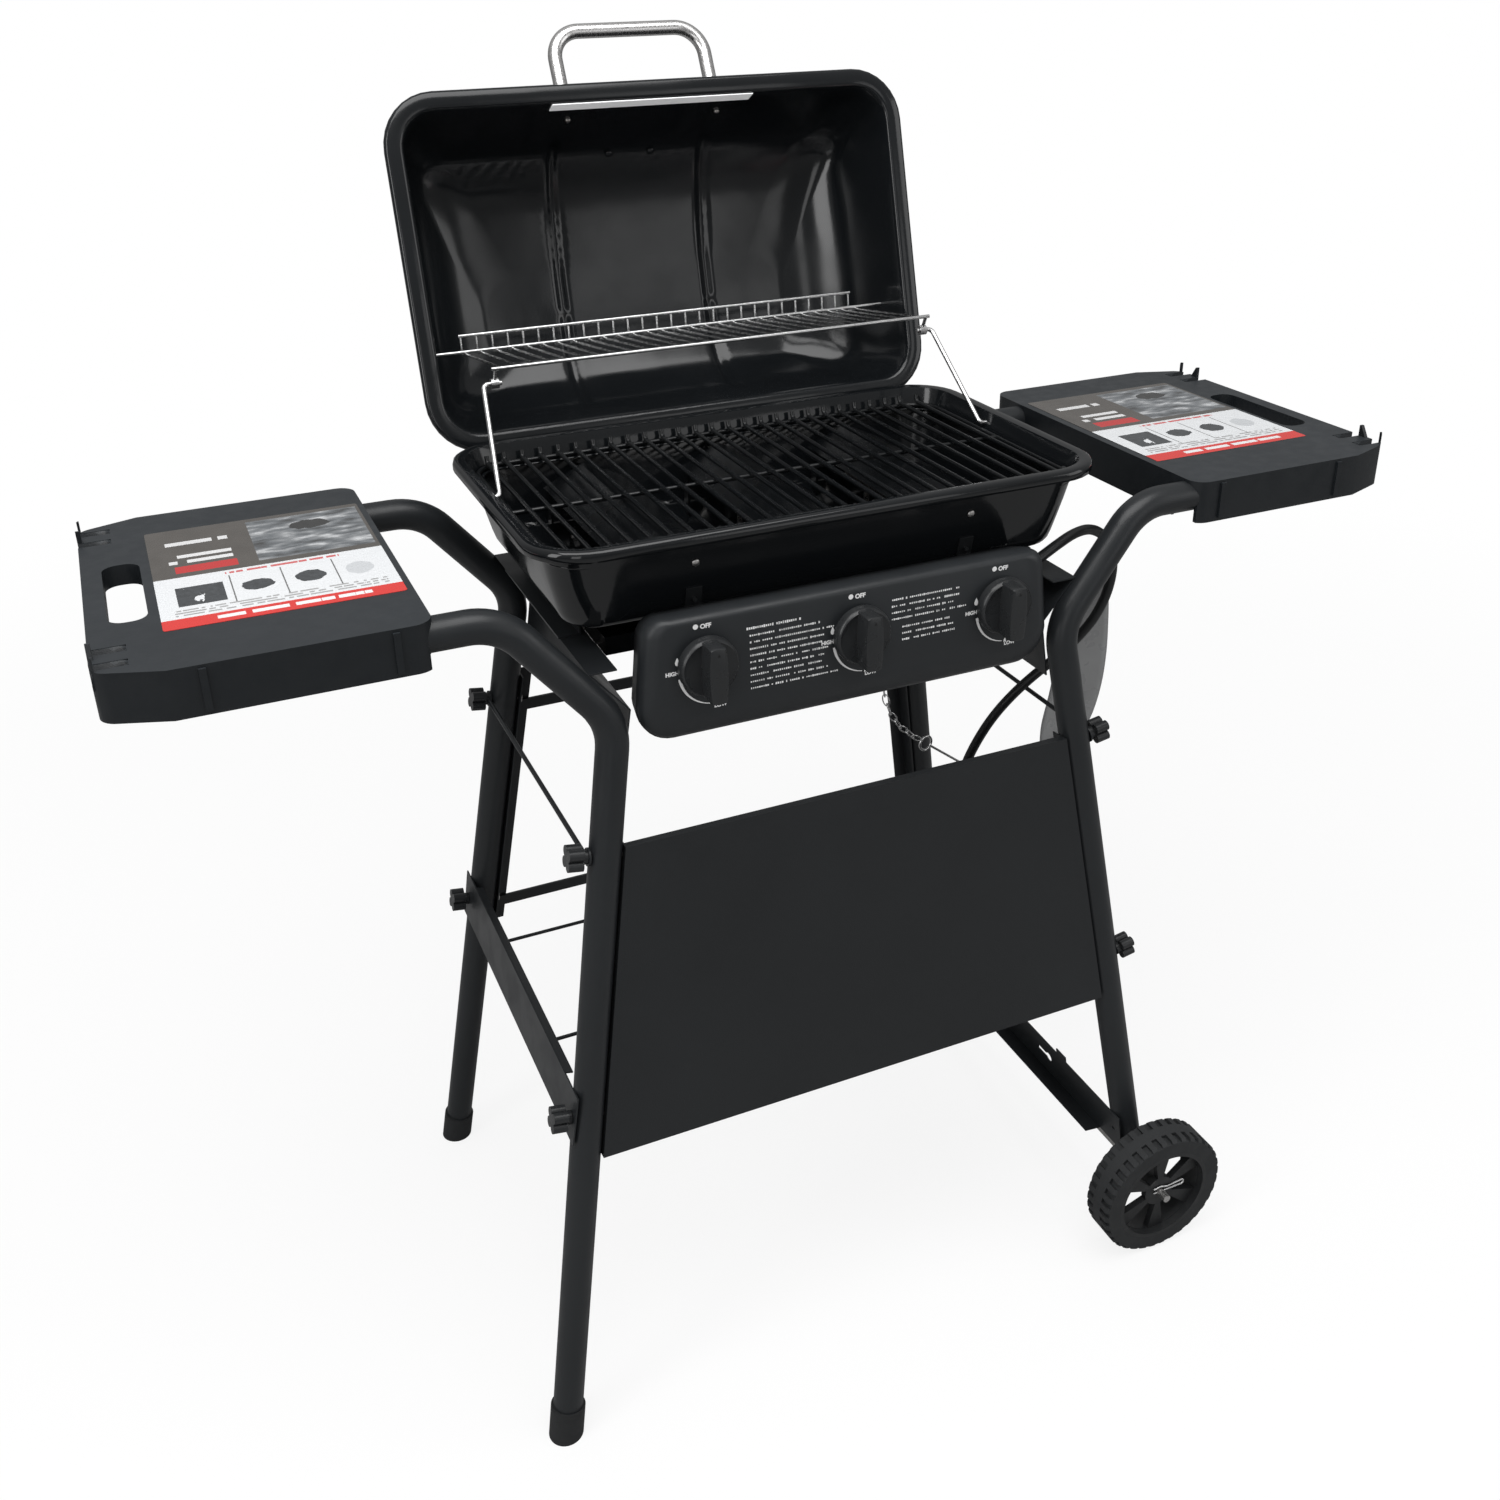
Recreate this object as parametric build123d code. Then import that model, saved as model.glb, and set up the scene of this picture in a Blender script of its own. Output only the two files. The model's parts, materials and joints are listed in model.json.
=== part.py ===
from build123d import *
import math
import os

os.makedirs("parts", exist_ok=True)

# Gas barbecue grill on a four-legged tube cart, lid open.
# Millimetres. X to the right, Y to the back, Z up, z = 0 on the ground, y = 0 midway
# between the legs. The whole model is moved at the end so that its origin is at the
# bottom centre of its bounding box.

# ---- named clearances -------------------------------------------------------------
snug = 0.05            # radial gap of pieces that hold each other
running = 0.08         # radial gap of a shaft in its bearing
loose = 0.5            # gap beside pieces that move
open_pivot_gap = 1.0   # radial gap of the pivot that is left open in the rack linkage

# ---- tube cart --------------------------------------------------------------------
tube_d = 32.0
tube_wall = 1.2
leg_foot_x = 372.5     # leg axis at the ground
leg_lean_x = 0.162     # inward lean per unit of height
leg_foot_y = 247.5
leg_lean_y = 0.0977
kink_z = 797.0         # where the leg turns outward
arm_z = 911.0          # axis of the arm under the shelf
arm_corner_x = 338.5
arm_end_x = 600.0
tube_bend_r = 62.0
leg_joint_z = 555.0    # swaged joint between the lower leg and the upper tube
swage_len = 48.0
cap_wall = 2.5
cap_height = 36.0
wheel_leg_end = 34.0   # how far the wheel-side legs reach below the axle

# ---- side plates, braces, panel ---------------------------------------------------
sheet = 1.5
plate_top_z = 846.0
plate_low_z = 742.0
plate_ledge = 26.0
knob_low_z = 386.0     # lower wing knobs
knob_high_z = 664.0    # upper wing knobs
panel_high_z = 673.0
panel_low_z = 338.0
panel_face = 12.0      # panel face in front of the leg axes
panel_flange = 24.0
panel_fold = 10.0      # folded top and bottom edges
brace_low_z = 361.0
brace_height = 56.0
brace_flange = 8.0
channel_low_z = 115.0
channel_height = 51.0
channel_flange = 22.0
keyhole_y = -96.0
keyhole_d = 12.0
keyhole_slot = 6.0
hump_high = 8.0
hump_len = 20.0
strip_width = 18.0
strip_high_z = 692.0
bar_width = 14.0
bar_thick = 3.0
bar_high_z = 644.0
bar_low_z = 366.0
tie_d = 5.0
bolt_d = 6.0
bolt_head_d = 13.0
bolt_head_h = 3.0
screw_d = 4.0
eye_thick = 2.0
eye_d = 18.0
wing_neck_d = 14.0
wing_neck = 5.0
wing_lobe_d = 11.0
wing_lobe_r = 8.0
wing_lobes = 4
wing_height = 15.0
guard_d = 4.0
guard_bend_r = 24.0
guard_reach = 200.0
guard_back_y = 82.0
guard_front_y = -108.0
guard_z = 404.0

# ---- wheels -----------------------------------------------------------------------
wheel_d = 164.0
wheel_width = 42.0
wheel_gap = 8.0        # from the leg to the wheel
tyre_depth = 20.0
rim_thick = 5.0
hub_d = 30.0
web_thick = 8.0
hub_recess = 9.0
wheel_openings = 6
axle_d = 9.5
lug_count = 36
lug_depth = 4.0
tyre_chamfer = 3.0
wheel_opening_arc = 38.0
axle_out = 6.0         # axle end beyond the wheel
pin_wire = 2.2
pin_reach = 34.0

# ---- fire bowl --------------------------------------------------------------------
middle_y = 18.0        # middle of the bowl and of the shelves
rim_z = 961.0
rim_half_x = 300.0
rim_half_y = 181.5
rim_corner_r = 58.0
bowl_flange = 12.0
bowl_lip = 9.0
bowl_wall = 1.5
bowl_low_z = 872.0     # where the walls end and the sloping floor starts
bowl_draft = 22.0      # how far each wall leans in
floor_z = 848.0
floor_half_x = 200.0
floor_half_y = 84.0
drain_half_x = 60.0
drain_half_y = 30.0
ledge_drop = 20.0      # grate ledge below the rim
ledge_width = 12.0
tray_half_x = 222.0
tray_depth = 19.0
tray_half_y = 106.0
tray_gap = 5.0
tray_hook_d = 3.0
tray_hook_y = 70.0     # hangers from the middle
tray_hook_out = 10.0
tray_hook_r = 5.0
rail_x = 243.0         # web of the rails under the bowl
rail_hole_z = 855.0
rail_top = 15.0
rail_thick = 2.0
rail_y = 96.0          # half length of the rails under the bowl

# ---- grate, heat plates, burners, gas train -----------------------------------------
grate_rod = 5.0
grate_pitch = 20.0
grate_count = 27
grate_gap = 6.0
grate_curl = 8.0
burner_x = 158.0
burner_d = 26.0
burner_z = 893.0
burner_wall = 1.2
venturi_d = 18.0
port_d = 2.4
port_count = 14
tent_width = 92.0
tent_height = 22.0
tent_half = 140.0
valve_z = 846.0
valve_size = 22.0
valve_bore = 13.0
valve_bore_len = 22.0
orifice_d = 8.0
orifice_up = 4.0       # orifice above the valve axis
orifice_y = -120.0
seat_len = 8.0
bracket_x = 147.0
bracket_width = 16.0
bracket_top_z = 900.0
bracket_screw_z = 888.0
venturi_route = [(-122, 850), (-80, 862), (-48, burner_z), (-20, burner_z)]
venturi_bend_r = 14.0
burner_front_y = -46.0
burner_back_y = 130.0
burner_post_y = 100.0
burner_post_d = 6.0
tent_z = 915.0
tent_foot = 12.0
tent_foot_y = 125.0    # tent feet from the middle
manifold_y = -142.0
manifold_d = 14.0
manifold_end_x = 196.0
stem_d = 8.0
push_travel = 3.0

# ---- control panel and knobs ------------------------------------------------------
face_y = -186.0
console_half_x = 222.0
console_high_z = 906.0
console_low_z = 767.0
console_wall = 3.0
console_chamfer = 22.0
console_bevel = 28.0   # height of the slanting lower edge
console_bevel_in = 12.0
console_back_y = -141.0
console_corner_r = 34.0
knob_d = 58.0
knob_skirt = 12.0
knob_grip = 20.0
knob_grip_width = 19.0
knob_gap = 4.0
knob_bore_len = 20.0

# ---- lid --------------------------------------------------------------------------
open_angle = 104.7     # from closed to the open rest
hinge_y = 207.0
hinge_z = 948.0
lid_gap = 1.5          # between the rims when the lid is closed
lid_wall = 1.5
lid_half_x = 303.0
lid_half_y = 187.0
lid_rim_r = 58.0
lid_flange = 17.0
lid_lip = 6.0
lid_corner_r = 40.0
# lid shape, closed: height over the rim, then how far side, front and back lean in
lid_shape = [(0, 0, 0, 0), (55, 8, 12, 5), (96, 19, 28, 12), (122, 36, 48, 24),
             (146, 62, 98, 44), (164, 92, 165, 72)]
handle_d = 16.0
handle_half = 89.5
handle_rise = 106.0
handle_up = 48.0       # handle screws above the rim
handle_bend_r = 32.0
hinge_half_x = 180.0
hinge_pin_d = 6.0
knuckle_d = 12.0
knuckle_len = 22.0
leaf_thick = 2.0
leaf_low_z = 905.0
leaf_high = 33.0       # top of the lid leaf above the rim
pin_head_d = 9.0
pin_head = 1.5
handle_screw_len = 14.0
inner_gap = 0.3        # between the lid's inside and what is fixed there
strip_half = 118.0
strip_high = 16.0
strip_up = 10.0        # middle of the strip above the rim
strip_thick = 1.0

# ---- warming rack and swing arms ----------------------------------------------------
rack_pivot_y = 90.0    # rack pivot on the lid, from the hinge, lid open
rack_pivot_z = 89.5
arm_pivot_y = -153.0   # arm pivot on the bowl, from the hinge
arm_pivot_z = 2.0
rack_rod = 4.0
rack_wire = 2.6
rack_half = 250.0
rack_wires = 28
rack_front_out = 8.0
rack_front_up = 17.0
fence_back = 18.0
fence_drop = 6.0
fence_high = 22.0
fence_lean = 2.0
fence_half = 245.0
swing_rod = 5.0
swing_low_x = 277.0
swing_high_x = 262.0
swing_out_x = 292.0
swing_in_x = 243.0
swing_bend_r = 6.0
eye_len = 8.0
eye_wall = 2.0

# ---- shelves ------------------------------------------------------------------------
shelf_inner_x = 397.0
shelf_kink_x = 612.0
shelf_outer_x = 668.0
shelf_half_y = 196.0
shelf_end_half_y = 176.0
shelf_skin = 3.0
shelf_skirt = 45.0
shelf_corner_r = 18.0
slot_in_x = 617.0
slot_out_x = 650.0
slot_half_y = 72.0
notch_width = 13.0
notch_len = 30.0
notch_near = 128.0
notch_far = 158.0
horn_high = 12.0
horn_width = 10.0
notch_depth = 16.0
horn_thick = 4.0
slot_y = 10.0
slot_r = 14.0
slot_wall = 20.0
saddle_thick = 6.0
saddle_x = (430.0, 585.0)
saddle_rim = 6.0

# ---- hose, regulator and lighter chain ------------------------------------------------
hose_d = 11.0
fitting_d = 17.0
fitting_len = 16.0
regulator_d = 58.0
regulator_thick = 26.0
chain_d = 8.0         # over the links
holder_d = 2.6
holder_len = 90.0
holder_ring_r = 8.0
hose_route = [(214, -141, 854), (238, -136, 862), (262, -130, 870), (287, -124, 877),
              (312, -118, 876), (335, -113, 862), (349, -110, 840), (354, -107, 814),
              (351, -104, 786), (341, -99, 758), (325, -91, 732), (303, -82, 708),
              (272, -69, 677), (246, -56, 640), (228, -46, 600), (217, -38, 560), (213, -36, 524)]
chain_route = [(49, -137, 836), (51, -133, 798), (57, -129, 762), (64, -128, 729),
               (74, -126, 706), (92, -122, 684), (113, -118, 667)]
cord_share = 0.45      # share of the shorter run that a cord's bend takes

# ---- worked out from the above --------------------------------------------------------
tube_r = tube_d / 2
axle_z = wheel_d / 2
slant = math.hypot(1.0, leg_lean_y)          # length of the leg plane per unit of height
shelf_top_z = arm_z + tube_r + shelf_skin
bowl_half_x = rim_half_x - bowl_flange
bowl_half_y = rim_half_y - bowl_flange
grate_z = rim_z - ledge_drop + grate_rod / 2
hinge = Axis((0, hinge_y, hinge_z), (1, 0, 0))
front_plane = Plane(origin=(0, -leg_foot_y, 0), x_dir=(1, 0, 0), z_dir=(0, -1, leg_lean_y))
capped_foot_z = cap_wall + tube_r * math.hypot(leg_lean_x, leg_lean_y)
parts = {}


def leg_x(z):
    """Leg axis at a height, right-hand side."""
    return leg_foot_x - leg_lean_x * z


def leg_y(z):
    return leg_foot_y - leg_lean_y * z


def on_leg(z):
    """A height above the ground as a length up the leg plane."""
    return z * slant


def add(name, *solids):
    parts[name] = solids[0] if len(solids) == 1 else Compound(children=list(solids))


def block(x0, x1, y0, y1, z0, z1):
    return Pos((x0 + x1) / 2, (y0 + y1) / 2, (z0 + z1) / 2) * Box(x1 - x0, y1 - y0, z1 - z0)


def rod(start, end, diameter):
    start, end = Vector(*start), Vector(*end)
    return Plane(origin=start, z_dir=end - start) * Cylinder(
        diameter / 2, (end - start).length, align=(Align.CENTER, Align.CENTER, Align.MIN))


def pipe(points, radius, outer, wall=0.0):
    """Round rod or tube along straight runs with rounded corners."""
    path = FilletPolyline(*points, radius=radius)
    plane = Plane(origin=path @ 0, z_dir=path % 0)
    section = Circle(outer / 2)
    if wall:
        section -= Circle(outer / 2 - wall)
    return sweep(plane * section, path)


def beside(line, off):
    """Points of a 2D line moved sideways by off, to its left."""
    runs = [(Vector(*q) - Vector(*p)).normalized() for p, q in zip(line, line[1:])]
    moved = []
    for i, point in enumerate(line):
        u, v = runs[max(i - 1, 0)], runs[min(i, len(runs) - 1)]
        stretch = off / (1 + u.dot(v))
        moved.append((point[0] - (u.Y + v.Y) * stretch, point[1] + (u.X + v.X) * stretch))
    return moved


def bent_sheet(line, thick, y0, y1):
    """Sheet whose middle follows a line of points in the XZ plane, from y0 to y1."""
    outline = beside(line, thick / 2) + beside(line, -thick / 2)[::-1]
    face = make_face(Polyline(*outline, close=True))
    return extrude(Plane(origin=(0, y1, 0), x_dir=(1, 0, 0), z_dir=(0, -1, 0)) * face, y1 - y0)


def as_built(shape):
    return shape


def to_left(shape):
    return mirror(shape, about=Plane.YZ)


def to_back(shape):
    return mirror(shape, about=Plane.XZ)


def to_back_left(shape):
    return Rot(0, 0, 180) * shape


# corners of the cart, and how the front right corner is carried to each
corners = {"front_right": as_built, "front_left": to_left, "rear_right": to_back, "rear_left": to_back_left}


# ---- cart -------------------------------------------------------------------------------
def off_leg(z, reach):
    """Point square off the front right leg axis, outward at a height."""
    outward = Vector(slant ** 2, leg_lean_x * leg_lean_y, leg_lean_x).normalized()
    return Vector(leg_x(z), -leg_y(z), z) + outward * reach


def across_leg(z, diameter, start, end):
    """Cylinder square across the front right leg, from inside to outside."""
    return rod(off_leg(z, start), off_leg(z, end), diameter)


def leg_holes():
    """Bolt holes through a leg."""
    return [across_leg(z, bolt_d + 2 * loose, -tube_d, tube_d) for z in (knob_low_z, knob_high_z)]


def upper_tube():
    points = [(leg_x(leg_joint_z), on_leg(leg_joint_z)), (leg_x(kink_z), on_leg(kink_z)),
              (arm_corner_x, on_leg(arm_z)), (arm_end_x, on_leg(arm_z))]
    tube = front_plane * pipe(points, tube_bend_r, tube_d, tube_wall)
    return tube.cut(*leg_holes())


def leg_cylinder(low_z, high_z, diameter, beyond=0.0):
    """Cylinder along the front right leg axis between two heights."""
    low = Vector(leg_x(low_z), -leg_y(low_z), low_z)
    high = Vector(leg_x(high_z), -leg_y(high_z), high_z)
    return rod(low, high + (high - low).normalized() * beyond, diameter)


def lower_leg(foot_z):
    """Lower leg with its narrowed neck inside the upper tube."""
    neck_d = tube_d - 2 * (tube_wall + snug)
    leg = leg_cylinder(foot_z, leg_joint_z, tube_d)
    leg += leg_cylinder(foot_z, leg_joint_z, neck_d, swage_len)
    leg -= leg_cylinder(foot_z, leg_joint_z, neck_d - 2 * tube_wall, swage_len)
    return leg.cut(*leg_holes())


def axle_line(diameter, half):
    return rod((leg_x(axle_z), -half, axle_z), (leg_x(axle_z), half, axle_z), diameter)


def foot_cap():
    """Rubber cup on a foot, with its sole flat on the ground."""
    cup = leg_cylinder(-cap_height, cap_height, tube_d + 2 * cap_wall)
    cup -= leg_cylinder(capped_foot_z, 2 * cap_height, tube_d + 2 * snug)
    return cup & block(0, 2 * leg_foot_x, -2 * leg_foot_y, 0, 0, 2 * cap_height)


def side_plate():
    """Right side plate: bent round the inside of the tubes, with a ledge for the bowl."""
    tube_line = [(leg_x(plate_low_z), plate_low_z), (leg_x(kink_z), kink_z), (arm_corner_x, arm_z)]
    low, turn, high = beside(tube_line, tube_r + sheet / 2 + snug)
    ledge_z = plate_top_z - sheet / 2
    share = (ledge_z - turn[1]) / (high[1] - turn[1])
    top = (turn[0] + (high[0] - turn[0]) * share, ledge_z)
    reach = leg_y(plate_top_z)
    return bent_sheet([low, turn, top, (top[0] - plate_ledge, ledge_z)], sheet, -reach, reach)


def trapezium(low_z, high_z, gap):
    """Outline between the front legs, a gap away from their tubes."""
    inset = (tube_r + gap) * math.hypot(slant, leg_lean_x) / slant
    low_x, high_x = leg_x(low_z) - inset, leg_x(high_z) - inset
    low, high = on_leg(low_z), on_leg(high_z)
    return make_face(Polyline((-low_x, low), (low_x, low), (high_x, high), (-high_x, high), close=True))


def front_panel():
    """Sheet between the front legs: side flanges bolted to them, top and bottom edges folded."""
    back = panel_face - panel_flange
    shell = Pos(0, 0, back) * extrude(trapezium(panel_low_z, panel_high_z, snug), panel_flange)
    inner = trapezium(panel_low_z + sheet, panel_high_z - sheet, snug + sheet)
    shell -= Pos(0, 0, back) * extrude(inner, panel_flange - sheet)
    behind_folds = trapezium(panel_low_z - sheet, panel_high_z + sheet, snug + sheet)
    shell -= Pos(0, 0, back) * extrude(behind_folds, panel_flange - panel_fold)
    return flange_holes(front_plane * shell)


def flange_holes(shape):
    """Bolt holes in what lies against the inside of both legs of a pair."""
    holes = [across_leg(z, bolt_d + 2 * loose, -tube_d, 0) for z in (knob_low_z, knob_high_z)]
    return shape.cut(*holes, *[to_left(hole) for hole in holes])


def rear_frame():
    """Two angle strips on the rear legs and two bars between them."""
    back = panel_face - panel_flange
    strips = Pos(0, 0, back) * extrude(trapezium(panel_low_z, strip_high_z, snug), panel_flange)
    hollow = trapezium(panel_low_z - sheet, strip_high_z + sheet, snug + sheet)
    strips -= Pos(0, 0, back) * extrude(hollow, panel_flange - sheet)
    strips -= Pos(0, 0, back) * extrude(
        trapezium(panel_low_z - sheet, strip_high_z + sheet, strip_width), 2 * panel_flange)
    strips = flange_holes(front_plane * strips)
    bars = []
    for z in (bar_low_z, bar_high_z):
        bar = extrude(trapezium(z - bar_width / 2, z + bar_width / 2, 2 * sheet), bar_thick)
        bars.append(front_plane * Pos(0, 0, panel_face - sheet - bar_thick) * bar)
    return [to_back(piece) for piece in [*strips.solids(), *bars]]


def left_brace():
    """Angle bar outside the left legs, bolted by the lower wing knobs."""
    low, high = brace_low_z, brace_low_z + brace_height
    web = beside([(leg_x(low), low), (leg_x(high), high)], -(tube_r + sheet / 2 + snug))
    reach = leg_y(high) + tube_r
    inner = leg_y(low) - 2 * tube_r
    bar = bent_sheet(web, sheet, -reach, reach)
    top = [web[1], (web[1][0] - brace_flange, high + sheet / 2)]
    bar += bent_sheet(top, sheet, -inner, inner)
    hole = across_leg(knob_low_z, bolt_d + 2 * loose, 0, 2 * tube_r)
    return to_left(bar.cut(hole, to_back(hole)))


def axle_channel():
    """Angle bar inside the right legs, with a keyhole and a hump over it."""
    low, high = channel_low_z, channel_low_z + channel_height
    inside = tube_r + sheet / 2 + snug
    web = beside([(leg_x(low), low), (leg_x(high), high)], inside)
    reach = leg_y(high) + tube_r
    inner = leg_y(low) - 2 * tube_r
    bar = bent_sheet(web, sheet, -reach, reach)
    bar += bent_sheet([web[0], (web[0][0] - channel_flange, low)], sheet, -inner, inner)
    over = high + hump_high
    hump = beside([(leg_x(high), high), (leg_x(over), over)], inside)
    bar += bent_sheet(hump, sheet, keyhole_y - 2 * hump_len, keyhole_y - hump_len)
    x, z = web[0][0], low + channel_height / 2
    bar -= Pos(x, keyhole_y, z) * Rot(0, 90, 0) * Cylinder(keyhole_d / 2, channel_flange)
    bar -= block(x - channel_flange / 2, x + channel_flange / 2, keyhole_y,
                 keyhole_y + 2 * keyhole_d, z - keyhole_slot / 2, z + keyhole_slot / 2)
    hole = across_leg(z, screw_d + 2 * loose, -tube_d, 0)
    return bar.cut(hole, to_back(hole))


def frame_bolt(z, outer):
    """Carriage bolt across the front right leg, its head inside and its end in the wing knob."""
    inside = -(tube_r + sheet + 2 * snug)
    head = across_leg(z, bolt_head_d, inside - bolt_head_h, inside)
    return head + across_leg(z, bolt_d, inside - bolt_head_h, outer + wing_neck + wing_height / 2)


def wing_knob(z, outer):
    """Plastic wing knob, screwed on the bolt against what the bolt holds."""
    low = (Align.CENTER, Align.CENTER, Align.MIN)
    knob = Cylinder(wing_neck_d / 2, wing_neck + wing_height, align=low)
    for lobe in range(wing_lobes):
        post = Pos(wing_lobe_r, 0, wing_neck) * Cylinder(wing_lobe_d / 2, wing_height, align=low)
        knob += Rot(0, 0, 360 / wing_lobes * (lobe + 0.5)) * post
    knob -= Cylinder(bolt_d / 2 + snug, wing_neck + wing_height / 2, align=low)
    seat = off_leg(z, outer)
    return Plane(origin=seat, z_dir=off_leg(z, outer + 1) - seat) * knob


def knob_place(corner, z):
    """How far out from the leg axis a wing knob sits: outside the brace or the tie rod eye."""
    resting = tube_r + 2 * snug
    if z == knob_low_z:
        return resting + (sheet + loose / 2 if "left" in corner else 0)
    return resting + eye_thick


def tie_rod():
    """Thin rod along the right side between the upper knobs, with a flat eye at each end."""
    seat = tube_r + snug
    end = off_leg(knob_high_z, seat + tie_d / 2) + Vector(0, eye_d / 2 - 2 * loose, 0)
    eye = across_leg(knob_high_z, eye_d, seat, seat + eye_thick)
    bar = rod(end, (end.X, -end.Y, end.Z), tie_d)
    hole = across_leg(knob_high_z, bolt_d + 2 * loose, 0, tube_d)
    return (bar + eye + to_back(eye)).cut(hole, to_back(hole))


def bottle_guard():
    """U-shaped wire between the legs, its ends on the inside of the left brace."""
    web = leg_x(guard_z) + (tube_r + snug) * math.hypot(1, leg_lean_x) - leg_lean_x * guard_d / 2
    ends = [(-web, guard_back_y), (-web + guard_reach, guard_back_y),
            (-web + guard_reach, guard_front_y), (-web, guard_front_y)]
    return pipe([(x, y, guard_z) for x, y in ends], guard_bend_r, guard_d)


# ---- wheels -------------------------------------------------------------------------------
def wheel_face():
    """Distance from the middle to the outer face of a wheel."""
    return leg_y(axle_z) + tube_r + wheel_gap + wheel_width


def wheel_pieces():
    """Front wheel: tyre with lugs, and hub with wedge openings, both from the outer face inward."""
    low = (Align.CENTER, Align.CENTER, Align.MIN)
    tread_r, bead_r = wheel_d / 2, wheel_d / 2 - tyre_depth
    tyre = Cylinder(tread_r, wheel_width, align=low)
    tyre = chamfer(tyre.edges().filter_by(GeomType.CIRCLE), tyre_chamfer)
    tyre -= Cylinder(bead_r, wheel_width, align=low)
    groove_len = wheel_width / 3
    groove = Box(2 * lug_depth, math.pi * tread_r / lug_count, 2 * groove_len)
    pitch = 360 / lug_count
    grooves = []
    for lug in range(lug_count):
        for side, turn in ((0, 0), (wheel_width, pitch / 2)):
            grooves.append(Rot(0, 0, pitch * lug + turn) * Pos(tread_r, 0, side) * groove)
    tyre = tyre.cut(*grooves)
    boss = wheel_width + wheel_gap - loose - leg_lean_y * hub_d / 2 - hub_recess
    hub = Cylinder(bead_r - snug, wheel_width, align=low)
    hub -= Cylinder(bead_r - rim_thick, wheel_width, align=low)
    hub += Pos(0, 0, hub_recess) * Cylinder(bead_r - rim_thick / 2, web_thick, align=low)
    hub += Pos(0, 0, hub_recess) * Cylinder(hub_d / 2, boss, align=low)
    hub -= Cylinder(axle_d / 2 + running, 2 * (wheel_width + wheel_gap), align=low)
    opening = Cylinder(bead_r - rim_thick - loose, wheel_width, align=low)
    opening -= Cylinder(hub_d / 2 + rim_thick, wheel_width, align=low)
    side = math.radians(wheel_opening_arc / 2)
    wedge = make_face(Polyline((0, 0), (tread_r, -tread_r * math.tan(side)),
                               (tread_r, tread_r * math.tan(side)), close=True))
    opening &= extrude(wedge, wheel_width)
    turns = [360 / wheel_openings * i for i in range(wheel_openings)]
    hub = hub.cut(*[Rot(0, 0, turn) * opening for turn in turns])
    front = Plane(origin=(leg_x(axle_z), -wheel_face(), axle_z), x_dir=(1, 0, 0), z_dir=(0, 1, 0))
    return front * tyre, front * hub


def axle():
    """Steel axle through the wheel-side legs, cross drilled outside the wheels."""
    half = wheel_face() + axle_out
    bar = axle_line(axle_d, half)
    for side in (-1, 1):
        bar -= Pos(leg_x(axle_z), side * pin_y(), axle_z) * Rot(0, 90, 0) * Cylinder(
            pin_wire / 2 + snug, 2 * axle_d)
    return bar


def pin_y():
    return wheel_face() - hub_recess + pin_wire / 2 + 2 * running


def hitch_pin(side):
    """Spring clip: a straight leg through the axle and a bowed leg over it."""
    over = axle_d / 2 + pin_wire / 2 + snug
    line = [(-axle_d, 0), (pin_reach, 0), (pin_reach, 1.2 * over), (axle_d, 0.8 * over),
            (0, 1.3 * over), (-axle_d, over)]
    path = [(leg_x(axle_z) + x, side * pin_y(), axle_z + z) for x, z in line]
    return pipe(path, 1.5 * pin_wire, pin_wire)


# ---- fire bowl --------------------------------------------------------------------------
def rounded(half_x, half_y, corner_r, z, y=middle_y):
    return Pos(0, y, z) * RectangleRounded(2 * half_x, 2 * half_y, corner_r)


def bowl_lean(z):
    """How far the bowl's walls have leaned in at a height."""
    return bowl_draft * (rim_z - z) / (rim_z - bowl_low_z)


def bowl_floor(out, half_low, half_high):
    """Height of the floor's underside, out from the middle."""
    return floor_z + (bowl_low_z - floor_z) * (out - half_low) / (half_high - bowl_draft - half_low)


def bowl_body(inset):
    """Full shape of the bowl, a distance inside its outer surface."""
    corner_r = rim_corner_r - bowl_flange - inset
    top = rounded(bowl_half_x - inset, bowl_half_y - inset, corner_r, rim_z)
    lean = bowl_draft + inset
    low = rounded(bowl_half_x - lean, bowl_half_y - lean, corner_r - bowl_draft / 2, bowl_low_z + inset)
    floor = rounded(floor_half_x - inset, floor_half_y - inset, corner_r - bowl_draft, floor_z + inset)
    return loft([floor.face(), low.face(), top.face()], ruled=True)


def ring(half_x, half_y, corner_r, width, z, height):
    """Flat rounded ring, its outside at the given half sizes."""
    outer = extrude(rounded(half_x, half_y, corner_r, z), height)
    return outer - extrude(rounded(half_x - width, half_y - width, corner_r - width, z), height)


def fire_bowl():
    bowl = bowl_body(0) - bowl_body(bowl_wall)
    bowl += ring(rim_half_x, rim_half_y, rim_corner_r, bowl_flange + bowl_wall, rim_z - bowl_wall, bowl_wall)
    bowl += ring(rim_half_x, rim_half_y, rim_corner_r, bowl_wall, rim_z - bowl_lip, bowl_lip)
    ledge_z = rim_z - ledge_drop
    lean = bowl_lean(ledge_z) + bowl_wall / 2
    bowl += ring(bowl_half_x - lean, bowl_half_y - lean, rim_corner_r - bowl_flange - lean,
                 ledge_width, ledge_z - bowl_wall, bowl_wall)
    bowl -= block(-drain_half_x, drain_half_x, middle_y - drain_half_y, middle_y + drain_half_y,
                  floor_z - bowl_wall, floor_z + 2 * bowl_wall)
    holes = [venturi(x, 2 * loose) for x in burner_places]
    pivot = (hinge_y + arm_pivot_y, hinge_z + arm_pivot_z)
    for side in (-1, 1):
        holes.append(rod((side * floor_half_x, *pivot), (side * rim_half_x, *pivot),
                         swing_rod + 2 * running))
        x = side * bracket_x
        holes.append(rod((x, bracket_y(bracket_screw_z) - bowl_wall, bracket_screw_z),
                         (x, middle_y - floor_half_y, bracket_screw_z), screw_d + 2 * snug))
    return bowl.cut(*holes)


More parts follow.
